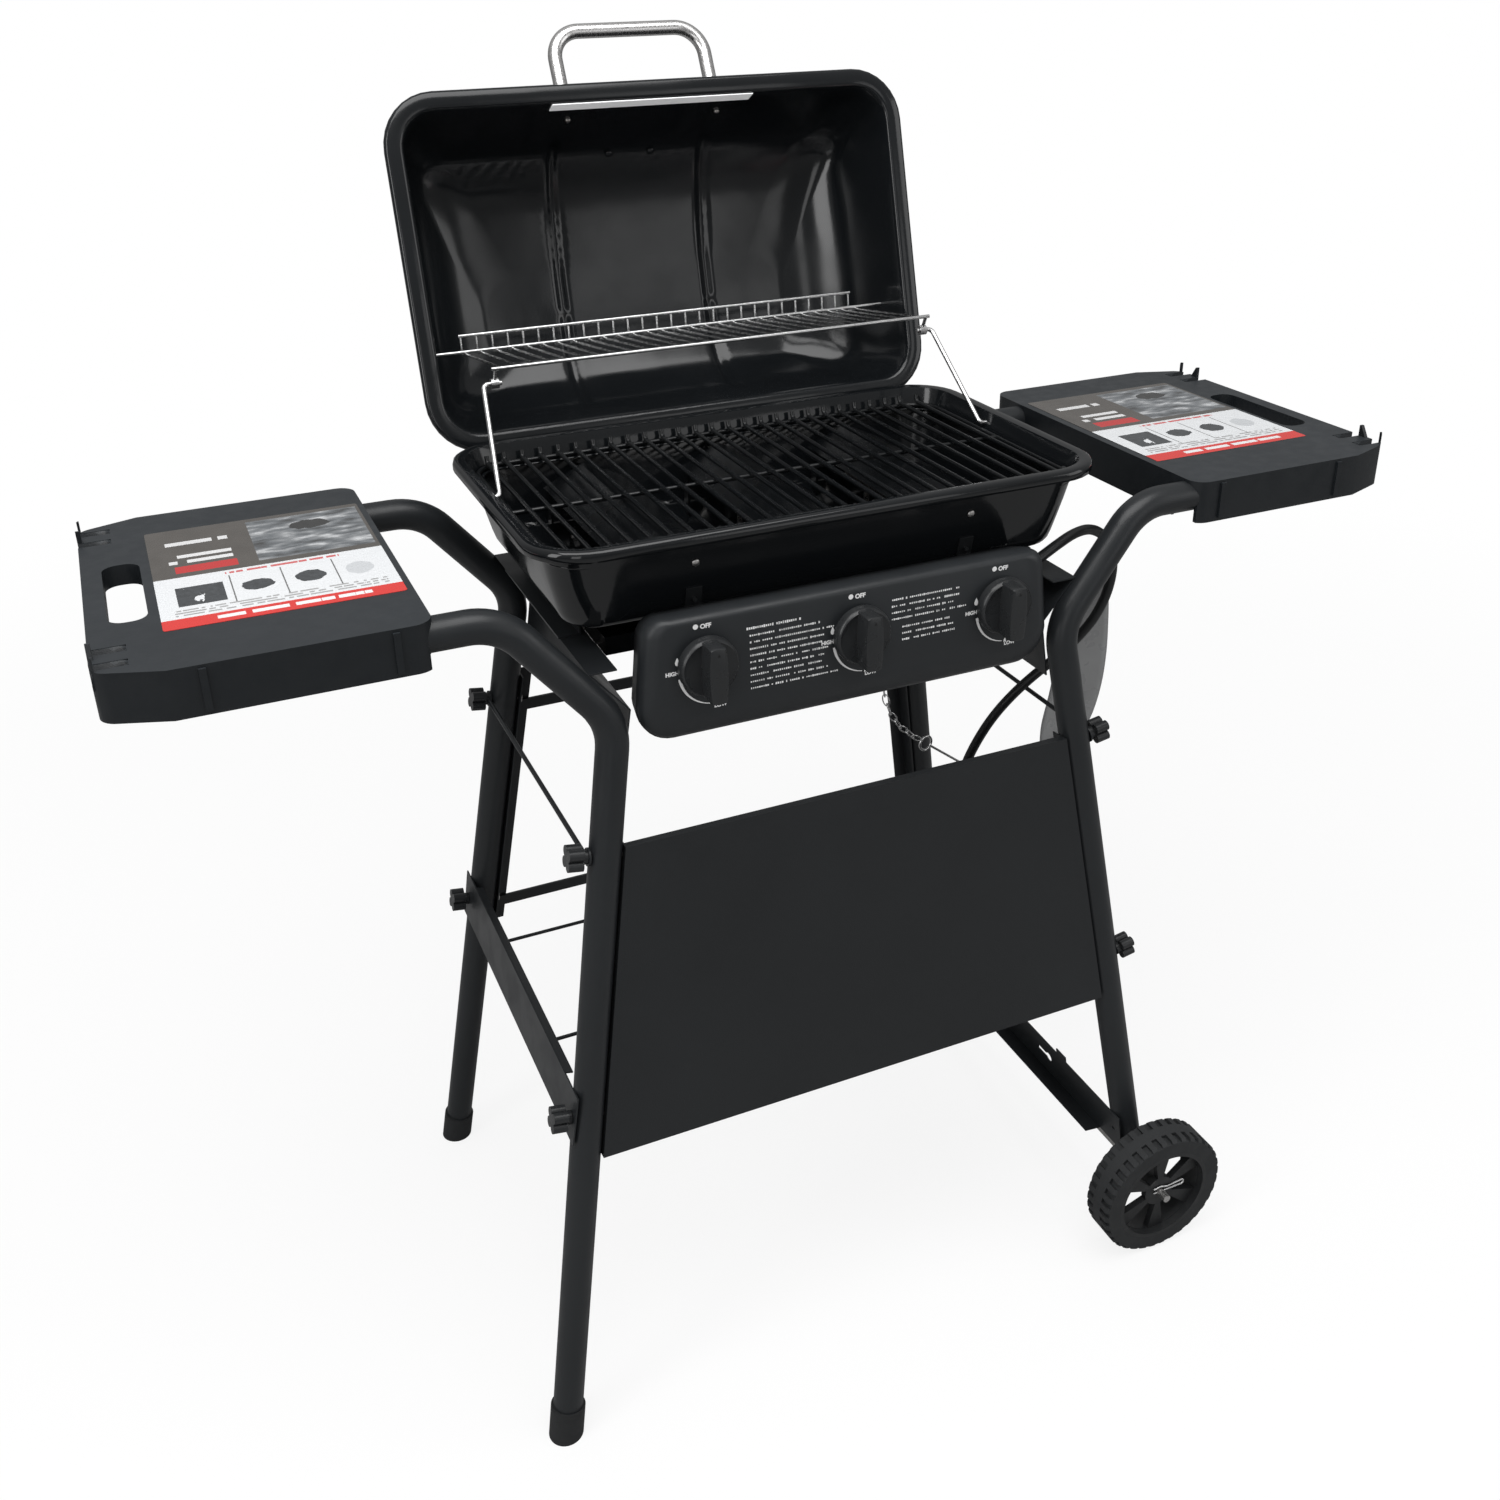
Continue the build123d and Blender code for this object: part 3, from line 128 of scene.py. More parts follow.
class Finish(Graph):
    def __init__(self, name, colour, **fixed):
        self.material = bpy.data.materials.new(name)
        self.material.use_nodes = True
        super().__init__(self.material.node_tree)
        self.shader = self.tree.nodes["Principled BSDF"]
        self.set(Base_Color=(*colour, 1), **fixed)
        self.where = self.add("ShaderNodeTexCoord", out="Object")

    def noise(self, scale, detail=2.0, where=None):
        return self.add("ShaderNodeTexNoise", None,
                        {"Vector": where or self.where, "Scale": scale, "Detail": detail}, "Fac")

    def span(self, value, low, high, toLow, toHigh):
        return self.add("ShaderNodeMapRange", {"interpolation_type": "SMOOTHSTEP"},
                        (value, low, high, toLow, toHigh))

    def blend(self, share, first, second):
        return self.add("ShaderNodeMix", {"data_type": "RGBA"}, {0: share, 6: first, 7: second}, 2)

    def bump(self, height, distance, strength=1.0, normal=None):
        values = {"Height": height, "Distance": distance, "Strength": strength}
        if normal:
            values["Normal"] = normal
        return self.add("ShaderNodeBump", None, values)

    def set(self, **values):
        self.feed(self.shader, {k.replace("_", " "): v for k, v in values.items()})
        return self.material


def shade(grey, warm=0.0):
    return (grey * (1 + warm), grey, grey * (1 - warm), 1)


# finishes

def powderCoat(name, grey, rough, grain=0.00012):
    f = Finish(name, (grey, grey, grey * 1.2), Specular_IOR_Level=0.32)
    cloud = f.noise(6.0, 3.0)
    f.set(Base_Color=f.blend(cloud, shade(grey * 0.8, -0.1), shade(grey * 1.25, -0.1)))
    fine = f.noise(700.0, 2.0)
    f.set(Roughness=f.span(f.noise(25.0, 3.0), 0.3, 0.7, rough - 0.05, rough + 0.06))
    return f.set(Normal=f.bump(fine, grain, 0.6))


def enamel(name, grey, rough):
    f = Finish(name, (grey, grey, grey * 1.2), Specular_IOR_Level=0.42)
    f.set(Base_Color=f.blend(f.noise(5.0, 2.0), shade(grey * 0.7, -0.14), shade(grey * 1.4, -0.14)))
    f.set(Roughness=f.span(f.noise(9.0, 4.0), 0.35, 0.7, rough * 0.7, rough * 1.5))
    waves = f.noise(14.0, 1.0)
    return f.set(Normal=f.bump(f.noise(420.0, 1.0), 0.00004, 0.5, f.bump(waves, 0.0018, 0.5)))


def moulded(name, grey, rough, scale=900.0, depth=0.00008, tint=0.06, **fixed):
    f = Finish(name, (grey, grey, grey * 1.1), Specular_IOR_Level=0.36, **fixed)
    f.set(Base_Color=f.blend(f.noise(12.0, 3.0), shade(grey * 0.85, -tint), shade(grey * 1.2, -tint)))
    f.set(Roughness=f.span(f.noise(60.0, 3.0), 0.3, 0.7, rough - 0.06, rough + 0.07))
    return f.set(Normal=f.bump(f.noise(scale, 3.0), depth, 0.8))


def brightMetal(name, grey, rough, warm=0.0, scratch=(30.0, 900.0, 900.0)):
    f = Finish(name, (grey, grey, grey), Metallic=1.0)
    streak = f.noise(1.0, 3.0, f.add("ShaderNodeMapping", None, {"Vector": f.where, "Scale": scratch}))
    f.set(Base_Color=f.blend(streak, shade(grey * 0.8, warm), shade(min(1.0, grey * 1.12), warm)))
    f.set(Roughness=f.span(streak, 0.3, 0.7, rough * 0.7, rough * 1.4))
    return f.set(Normal=f.bump(streak, 0.00006, 0.5))


def shelfWithPaintedLight(name, side, top):
    # moulded plastic with painted light: its level faces painted paler as if lit from above, its skirts
    # painted darker as painted shade
    f = Finish(name, (top, top, top * 1.1), Specular_IOR_Level=0.34)
    facing = f.add("ShaderNodeNewGeometry", out="Normal")
    # faces turned upwards get the paler colour, which is painted light; the rest get the darker skirt colour,
    # which is painted shade
    level = f.add("ShaderNodeSeparateXYZ", None, (facing,), "Z") > 0.7
    litTopColour = f.blend(f.noise(12.0, 3.0), shade(top * 0.85, -0.14), shade(top * 1.2, -0.14))
    f.set(Base_Color=f.blend(level, shade(side, -0.2), litTopColour))
    f.set(Roughness=f.span(f.noise(60.0, 3.0), 0.3, 0.7, 0.36, 0.49))
    return f.set(Normal=f.bump(f.noise(900.0, 3.0), 0.00008, 0.8))


def darkAboveAsShade(name, level, shadeGrey, metalGrey):
    # zinc metal below a height; over it a dark colour that is painted shade, standing for the shaded gap
    # between the control panel and the bowl
    f = Finish(name, (metalGrey, metalGrey, metalGrey))
    above = f.add("ShaderNodeSeparateXYZ", None, (f.where,), "Z") > level
    streak = f.noise(120.0, 3.0)
    bare = f.blend(streak, shade(metalGrey * 0.85), shade(metalGrey * 1.1))
    painted = f.blend(above, bare, shade(shadeGrey, -0.1))
    f.set(Base_Color=painted, Metallic=1 - above, Roughness=above * 0.08 + 0.32)
    return f.set(Normal=f.bump(streak, 0.00005, 0.5))


paint = powderCoat("satinBlackPaint", 0.0158, 0.36)
panelPaint = powderCoat("panelPaint", 0.013, 0.42, 0.0002)
bowlEnamel = enamel("glossEnamel", 0.006, 0.09)
lidEnamel = enamel("lidEnamel", 0.0072, 0.15)
grateEnamel = enamel("grateEnamel", 0.0045, 0.24)
consolePaint = powderCoat("consolePaint", 0.0185, 0.4, 0.00008)
# the shelves' skirt colour is painted shade and their top colour is painted light from above
shelfPlastic = shelfWithPaintedLight("shelfPlastic", 0.009, 0.0235)
knobPlastic = moulded("knobPlastic", 0.018, 0.3, 500.0, 0.00004)
wheelPlastic = moulded("wheelPlastic", 0.014, 0.45)
capRubber = moulded("capRubber", 0.013, 0.62, 500.0, 0.00015)
tyreRubber = moulded("tyreRubber", 0.02, 0.66, 420.0, 0.0002)
hoseRubber = moulded("hoseRubber", 0.011, 0.38, 300.0, 0.0001)
wireChrome = brightMetal("platedWire", 0.72, 0.22)
zinc = brightMetal("zincPlate", 0.55, 0.34, 0.02)
burnerSteel = brightMetal("burnerSteel", 0.4, 0.3, 0.04)
handleSteel = brightMetal("brushedHandle", 0.66, 0.26, 0.01, (700.0, 700.0, 40.0))
castMetal = brightMetal("castMetal", 0.5, 0.45, 0.0, (200.0, 200.0, 200.0))
brass = brightMetal("brass", 0.5, 0.3, 0.3)
# the manifold's upper part is darkened as painted shade
manifoldMetal = darkAboveAsShade("manifoldMetal", 0.868, 0.009, 0.52)
# the strip's emission is painted light: it glows so that the strip looks lit, though it is no lamp
glowingStripPlastic = moulded("whiteStrip", 0.86, 0.3, 300.0, 0.00003, 0.01,
                       Emission_Color=(1.0, 1.0, 1.0, 1.0), Emission_Strength=0.22)
markWhite = moulded("whiteMark", 0.78, 0.5, 600.0, 0.00002, 0.0)
markDark = moulded("darkMark", 0.003, 0.6, 600.0, 0.00002)
tagFilm = moulded("tagFilm", 0.27, 0.3, 90.0, 0.0002, 0.01)

finishOf = {
    paint: ["lower_leg", "upper_tube", "side_plate", "left_brace", "axle_channel", "tie_rods", "rear_frame",
            "bottle_guard", "bowl_rails", "hinge_leaves"],
    panelPaint: ["front_panel"],
    capRubber: ["foot_cap"],
    knobPlastic: ["knob", "wing_knobs"],
    bowlEnamel: ["fire_bowl"],
    lidEnamel: ["lid", "grease_tray"],
    grateEnamel: ["cooking_grate", "heat_plates"],
    consolePaint: ["control_panel"],
    shelfPlastic: ["shelf"],
    wheelPlastic: ["wheel_hub"],
    tyreRubber: ["wheel_tyre"],
    wireChrome: ["hitch_pins", "warming_rack", "swing_arm", "match_holder", "match_chain"],
    zinc: ["frame_bolts", "axle", "hinge_pins", "handle_screws", "tray_hooks"],
    manifoldMetal: ["gas_manifold"],
    burnerSteel: ["burners"],
    castMetal: ["stem", "gas_regulator"],
    brass: ["spring_seat"],
    handleSteel: ["lid_handle"],
    glowingStripPlastic: ["lid_heat_strip"],
    hoseRubber: ["gas_hose"],
}
endings = sorted(((ending, material) for material, names in finishOf.items() for ending in names),
                 key=lambda pair: -len(pair[0]))
for name, cadNode in nodes.items():
    material = next(m for ending, m in endings if name.endswith(ending))
    cadNode.data.materials.clear()
    cadNode.data.materials.append(material)
print("finishes ready:", len(bpy.data.materials))


# mesh tools

def linked(name, mesh, material, body):
    piece = bpy.data.objects.new(name, mesh)
    bpy.context.scene.collection.objects.link(piece)
    mesh.materials.clear()
    mesh.materials.append(material)
    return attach(piece, body)


def meshOf(name, form, smooth=40):
    mesh = bpy.data.meshes.new(name)
    form.to_mesh(mesh)
    form.free()
    mesh.shade_smooth()
    mesh.set_sharp_from_angle(angle=math.radians(smooth))
    return mesh


def joined(name, forms, material, body, smooth=30):
    whole = bmesh.new()
    for form in forms:
        part = bpy.data.meshes.new("part")
        form.to_mesh(part)
        form.free()
        whole.from_mesh(part)
        bpy.data.meshes.remove(part)
    return linked(name, meshOf(name, whole, smooth), material, body)


def walled(piece, thickness, offset=-1.0, even=False):
    wall = piece.modifiers.new("wall", "SOLIDIFY")
    wall.thickness, wall.offset, wall.use_even_offset = thickness, offset, even


def softCopy(node, width, segments, edge):
    form = bmesh.new()
    form.from_mesh(nodes[node].data)
    bmesh.ops.remove_doubles(form, verts=form.verts, dist=2e-6)
    bmesh.ops.dissolve_limit(form, angle_limit=math.radians(0.6), verts=form.verts, edges=form.edges)
    name = node + "_dressed"
    piece = linked(name, meshOf(name, form, 30), nodes[node].data.materials[0], "cart")
    bevel = piece.modifiers.new("edges", "BEVEL")
    bevel.width, bevel.segments, bevel.harden_normals = width, segments, True
    bevel.limit_method, bevel.angle_limit = "ANGLE", math.radians(edge)
    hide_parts(node)
    return piece


def ring(halfX, halfY, radius, z, middle=0.0, corner=8, alongX=1, alongY=1):
    # rounded rectangle with the same number of points at any size
    points = []
    x, y = halfX - radius, halfY - radius
    for index, (sideX, sideY) in enumerate(((1, 1), (-1, 1), (-1, -1), (1, -1))):
        for step in range(corner + 1):
            turn = math.pi / 2 * (index + step / corner)
            offX, offY = radius * math.cos(turn), radius * math.sin(turn)
            points.append(Vector((sideX * x + offX, middle + sideY * y + offY, z)))
        nextX, nextY = ((-1, 1), (-1, -1), (1, -1), (1, 1))[index]
        start = points[-1].copy()
        end = Vector((nextX * x + offX, middle + nextY * y + offY, z))
        count = alongX if index % 2 == 0 else alongY
        points += [start.lerp(end, step / count) for step in range(1, count)]
    return points


def loft(rings, closed=False):
    form = bmesh.new()
    rows = [[form.verts.new(point) for point in points] for points in rings]
    count = len(rows[0])
    for lower, upper in zip(rows, rows[1:]):
        for i in range(count):
            form.faces.new((lower[i], lower[(i + 1) % count], upper[(i + 1) % count], upper[i]))
    if closed:
        bmesh.ops.remove_doubles(form, verts=form.verts, dist=1e-6)
    return form


def smoothed(rows, per):
    # points on a curve through rows of numbers, level where it starts and ends
    made = []
    for i in range(len(rows) - 1):
        near = zip(rows[max(0, i - 1)], rows[i], rows[i + 1], rows[min(len(rows) - 1, i + 2)])
        terms = [(2 * b, c - a, 2 * a - 5 * b + 4 * c - d, 3 * b - a - 3 * c + d) for a, b, c, d in near]
        for step in range(per):
            t = step / per
            made.append([(level + slope * t + bend * t * t + twist * t ** 3) / 2
                         for level, slope, bend, twist in terms])
    return made + [list(rows[-1])]


# camera, floor and light

view = {"place": (-605.6, -1342.7, 1439.9), "yaw": -23.3, "pitch": -25.4, "roll": -1.1,
        "lens": 35.9, "shift": (-0.0035, -0.0627)}
camera = bpy.data.objects.new("camera", bpy.data.cameras.new("camera"))
bpy.context.scene.collection.objects.link(camera)
bpy.context.scene.camera = camera
camera.location = at(*view["place"])
turn = (Matrix.Rotation(math.radians(view["yaw"]), 4, "Z")
        @ Matrix.Rotation(math.radians(90 + view["pitch"]), 4, "X")
        @ Matrix.Rotation(math.radians(view["roll"]), 4, "Z"))
camera.rotation_euler = turn.to_euler()
camera.data.lens, camera.data.sensor_width = view["lens"], 36
camera.data.shift_x, camera.data.shift_y = view["shift"]

bpy.context.scene.view_settings.view_transform = "Standard"
# each lamp holds name, place, aim, width, height and power
studio = {"floorSize": 40.0, "floorDrop": 0.0004, "floorGlow": 0.84, "clearFrom": 0.9, "clearTo": 3.2,
          "floorSeen": 0.8, "floorBounce": 0.3,
          "skyLow": 0.14, "skyHigh": 0.86, "glossLow": 0.2, "glossHigh": 0.5,
          "lamps": [("overhead", (-300, -700, 3200), (0, 0, 700), 2.6, 1.8, 62),
                    ("leftStrip", (-2600, -900, 1900), (0, 0, 700), 0.8, 2.2, 26),
                    ("rightFill", (2600, -1600, 1700), (0, 0, 600), 1.6, 1.6, 14),
                    ("frontWindow", (1100, -2500, 1300), (0, 300, 1000), 0.7, 1.5, 3.5),
                    ("sideWindow", (-1500, -2300, 1400), (0, 300, 1000), 0.7, 1.5, 6)]}
world = bpy.data.worlds.new("studio")
bpy.context.scene.world = world
world.use_nodes = True
sky = Graph(world.node_tree)
rays = sky.add("ShaderNodeLightPath").socket.node.outputs
camRay, glossRay, clearRay = (Link(sky, rays[f"Is {k} Ray"]) for k in ("Camera", "Glossy", "Transmission"))
direction = sky.add("ShaderNodeSeparateXYZ", None, (sky.add("ShaderNodeTexCoord", out="Generated"),), "Z")
up = direction.maths("MAXIMUM", direction, 0.0)
glossSky = up * (studio["glossHigh"] - studio["glossLow"]) + studio["glossLow"]
softSky = up * (studio["skyHigh"] - studio["skyLow"]) + studio["skyLow"]
softShare = 1 - (camRay + clearRay + glossRay)
sky.feed(world.node_tree.nodes["Background"],
         {"Color": (1, 1, 1, 1), "Strength": camRay + clearRay + glossRay * glossSky + softShare * softSky})

floorForm = bmesh.new()
bmesh.ops.create_grid(floorForm, x_segments=1, y_segments=1, size=studio["floorSize"])
floor = bpy.data.objects.new("floor", meshOf("floor", floorForm))
bpy.context.scene.collection.objects.link(floor)
floor.location.z = -studio["floorDrop"]
floorPaint = Finish("paleFloor", (0.8, 0.8, 0.8), Roughness=0.9)
glow = floorPaint.add("ShaderNodeEmission", None, {"Color": (1, 1, 1, 1), "Strength": 1.0})
seenFloor = floorPaint.add("ShaderNodeLightPath")
floorColour = floorPaint.blend(seenFloor, shade(studio["floorBounce"]), shade(studio["floorSeen"]))
floorPaint.set(Base_Color=floorColour)
away = floorPaint.add("ShaderNodeVectorMath", {"operation": "LENGTH"}, (floorPaint.where,), "Value")
glowShare = floorPaint.span(away, studio["clearFrom"], studio["clearTo"], studio["floorGlow"], 1.0)
painted = Link(floorPaint, floorPaint.shader.outputs[0])
mixed = floorPaint.add("ShaderNodeMixShader", None, {0: seenFloor * glowShare, 1: painted, 2: glow})
floorPaint.tree.links.new(mixed.socket, floorPaint.tree.nodes["Material Output"].inputs[0])
floor.data.materials.append(floorPaint.material)
for name, place, aim, width, height, power in studio["lamps"]:
    lamp = bpy.data.objects.new(name, bpy.data.lights.new(name, "AREA"))
    bpy.context.scene.collection.objects.link(lamp)
    lamp.data.shape, lamp.data.energy = "RECTANGLE", power
    lamp.data.size, lamp.data.size_y = width, height
    lamp.location = at(*place)
    lamp.rotation_euler = (at(*aim) - lamp.location).to_track_quat("-Z", "Y").to_euler()
print("camera and studio set")


# hose and lighter chain

hose = {"width": 0.011, "route": [
    (214, -141, 854), (238, -136, 862), (262, -130, 870), (287, -124, 877), (312, -118, 876),
    (335, -113, 862), (349, -110, 840), (354, -107, 814), (351, -104, 786), (341, -99, 758),
    (325, -91, 732), (303, -82, 708), (272, -69, 677), (246, -56, 640), (228, -46, 600),
    (217, -38, 560), (213, -36, 524)]}
chain = {"width": 0.008, "wire": 0.0014, "pitch": 0.0125, "endShare": 0.6, "route": [
    (49, -137, 836), (51, -133, 798), (57, -129, 762), (64, -128, 729), (74, -126, 706), (92, -122, 684),
    (113, -118, 667)]}


def cordCurve(name, route, width):
    curve = bpy.data.curves.new(name, "CURVE")
    curve.dimensions = "3D"
    spline = curve.splines.new("NURBS")
    spline.points.add(len(route) - 1)
    for point, place in zip(spline.points, route):
        point.co = (*at(*place), 1)
    spline.order_u, spline.use_endpoint_u = 3, True
    curve.resolution_u = 12
    curve.bevel_depth, curve.bevel_resolution, curve.use_fill_caps = width / 2, 6, True
    return curve


def lineOf(curve):
    bare = curve.copy()
    bare.bevel_depth = 0
    holder = bpy.data.objects.new("bare", bare)
    line = [v.co.copy() for v in bpy.data.meshes.new_from_object(holder).vertices]
    bpy.data.objects.remove(holder)
    return line


def lengthOf(line):
    return sum((b - a).length for a, b in zip(line, line[1:]))


hoseCurve = cordCurve("gas_hose_dressed", hose["route"], hose["width"])
hoseLine = lineOf(hoseCurve)
hosePiece = linked("gas_hose_dressed", hoseCurve, hoseRubber, "cart")
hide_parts("gas_hose")
lengthOf(hoseLine)

chainCurve = cordCurve("chain_line", chain["route"], chain["width"])
chainLine = lineOf(chainCurve)
print("cords laid:", round(lengthOf(hoseLine), 3), "m hose,", round(lengthOf(chainLine), 3), "m chain")


# lid

# sizes in metres; "rim" holds out and up, "leans" holds up, side, front and back, in millimetres
lidShape = {"half": (0.286, 0.170), "corner": 0.04, "middle": middleBack / 1000, "wall": 0.0015,
            "closedRim": 0.9625,
            "rim": [(17.0, 7.6), (17.0, 4.9), (16.2, 2.7), (14.4, 1.8), (9.0, 1.7), (3.5, 1.7), (1.2, 2.4),
                    (0.2, 4.1)],
            "leans": [(0, 0, 0, 0), (55, 8, 12, 5), (96, 19, 28, 12), (120, 36, 48, 24), (141, 62, 98, 44),
                      (153.3, 92, 165, 72)],
            "leanSteps": 5, "crown": 0.0016, "crownRings": 7, "crownReach": 0.998, "grid": (8, 200, 44),
            "ribAt": 0.094, "ribHalf": 0.0105, "ribDepth": 0.0051, "ribFrom": 0.088, "ribFull": 0.108}


def hingeTurn():
    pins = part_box("hinge_pins")
    centre = (pins[0] + pins[1]) / 2
    lidJoint = next(j for j in frame["joints"] if j["name"] == "lid_hinge")
    angle = math.radians(lidJoint["range_deg"][1])
    return Matrix.Translation(centre) @ Matrix.Rotation(-angle, 4, "X") @ Matrix.Translation(-centre)


openLid = hingeTurn()


def lidRings():
    s = lidShape
    halfX, halfY = s["half"]
    sizes = []
    for out, up in s["rim"]:
        out, up = out / 1000, up / 1000
        sizes.append((halfX + out, halfY + out, s["corner"] + out, up, s["middle"]))
    rows = smoothed(s["leans"], s["leanSteps"])[1:]
    for up, side, front, back in rows:
        up, side, front, back = (v / 1000 for v in (up, side, front, back))
        x, y, middle = halfX - side, halfY - (front + back) / 2, s["middle"] + (front - back) / 2
        sizes.append((x, y, s["corner"], up, middle))
    for i in range(1, s["crownRings"] + 1):
        share = i / s["crownRings"]
        inset = y * share * s["crownReach"]
        rise = s["crown"] * (1 - (1 - share) ** 2)
        sizes.append((x - inset, y - inset, max(0.00005, s["corner"] * (1 - share)), up + rise, middle))
    return [ring(x, y, corner, s["closedRim"] + up, middle, *s["grid"]) for x, y, corner, up, middle in sizes]


lidForm = loft(lidRings(), True)
crownEdges = [e for e in lidForm.edges if e.is_boundary and e.verts[0].co.z > lidShape["closedRim"] + 0.1]
bmesh.ops.contextual_create(lidForm, geom=crownEdges)
bmesh.ops.recalc_face_normals(lidForm, faces=lidForm.faces)
lidForm.normal_update()
moves = {}
for v in lidForm.verts:  # two pressed ribs, from front to back over the crown
    off = abs(abs(v.co.x) - lidShape["ribAt"]) / lidShape["ribHalf"]
    rise = v.co.z - lidShape["closedRim"] - lidShape["ribFrom"]
    rise = min(1.0, max(0.0, rise / (lidShape["ribFull"] - lidShape["ribFrom"])))
    if off < 1 and rise:
        swell = 0.5 + 0.5 * math.cos(math.pi * off)
        moves[v] = v.normal * lidShape["ribDepth"] * rise * rise * (3 - 2 * rise) * swell
for v, move in moves.items():
    v.co += move
for v in lidForm.verts:
    v.co = openLid @ (home + v.co)
lidForm.normal_update()
rearFaces = [f for f in lidForm.faces if f.calc_center_median().y > at(0, 330, 0).y]
if sum(1 if f.normal.y > 0 else -1 for f in rearFaces) < 0:
    bmesh.ops.reverse_faces(lidForm, faces=lidForm.faces)
lidPiece = linked("lid_shell", meshOf("lid_shell", lidForm, 60), lidEnamel, "lid")
walled(lidPiece, lidShape["wall"], even=True)
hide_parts("lid")
print("lid made")


# fire bowl

# "rim" and "wall" hold out or in and up in millimetres; the rest are half sizes, corner and height in metres
bowlShape = {"half": (0.288, 0.1695), "corner": 0.046, "middle": middleBack / 1000, "sheet": 0.0015,
             "grid": (8, 24, 12),
             "rim": [(12.0, 952.0), (12.0, 957.5), (11.2, 960.0), (9.2, 961.0), (4.0, 961.0), (1.2, 960.4),
                     (0.0, 958.0)],
             "wall": [(6.0, 940.0), (10.4, 920.0), (15.0, 901.0), (19.0, 885.0), (21.5, 877.0), (24.0, 873.4),
                      (28.0, 871.0)],
             "foot": (0.26, 0.1415, 0.032, 0.871), "panEdge": (0.2, 0.084, 0.024, 0.848),
             "panCentre": (0.06, 0.03, 0.008, 0.848),
             "ledge": [(0.2812, 0.1627, 0.0392, 0.9405), (0.2700, 0.1515, 0.028, 0.9410)]}


def bowlRing(x, y, corner, up):
    return ring(x, y, corner, up, bowlShape["middle"], *bowlShape["grid"])


def bowlRings():
    s = bowlShape
    halfX, halfY = s["half"]
    sizes = []
    for out, up in s["rim"]:
        sizes.append((halfX + out / 1000, halfY + out / 1000, s["corner"] + out / 1000, up / 1000))
    for inset, up in s["wall"]:
        sizes.append((halfX - inset / 1000, halfY - inset / 1000, s["corner"] - inset / 2000, up / 1000))
    for first, last, shares in ((s["foot"], s["panEdge"], (0.2, 0.5, 0.8, 1.0)),
                                (s["panEdge"], s["panCentre"], (0.5, 1.0))):
        sizes += [[a + (b - a) * share for a, b in zip(first, last)] for share in shares]
    return [bowlRing(*size) for size in sizes]


bowlForm = loft(bowlRings())
ledge = loft([bowlRing(*size) for size in bowlShape["ledge"]])
bmesh.ops.recalc_face_normals(bowlForm, faces=bowlForm.faces)
for form in (bowlForm, ledge):
    for v in form.verts:
        v.co = home + v.co
bowlForm.normal_update()
if sum(f.normal.z for f in bowlForm.faces if f.calc_center_median().z < 0.86) > 0:
    bmesh.ops.reverse_faces(bowlForm, faces=bowlForm.faces)
bowlPiece = linked("bowl_shell", meshOf("bowl_shell", bowlForm, 50), bowlEnamel, "cart")
walled(bowlPiece, bowlShape["sheet"], even=True)
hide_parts("fire_bowl")
ledgePiece = linked("grate_ledge", meshOf("grate_ledge", ledge), bowlEnamel, "cart")
walled(ledgePiece, bowlShape["sheet"])
print("fire bowl made")


# shelves, their printed panels

shelfEdge = {"width": 0.0035, "segments": 3, "edge": 35}
for side in ("left", "right"):
    softCopy(side + "_shelf", **shelfEdge)

printed = {"top": 930.05, "thick": 0.35, "size": (205, 254), "corner": 3.0,
           "places": {"left": (-505.5, 29.0), "right": (509.0, 28.0)}}


def bars(f, along, across, rows, low, high, left, right, seed, words=26.0):
    # rows of short strokes of uneven length, like small print seen from afar
    inside = (across > low) * (across < high) * (along > left) * (along < right)
    row = (across - low) * (rows / (high - low))
    line = abs(row % 1.0 - 0.5) < 0.27
    rowNumber = f.add("ShaderNodeMath", {"operation": "FLOOR"}, (row,))
    spot = f.add("ShaderNodeCombineXYZ", None, (along * words, rowNumber * 7.3 + seed, 0.0))
    gaps = f.add("ShaderNodeTexNoise", None, {"Vector": spot, "Scale": 1.0, "Detail": 1.0}, "Fac") > 0.44
    return inside * line * gaps


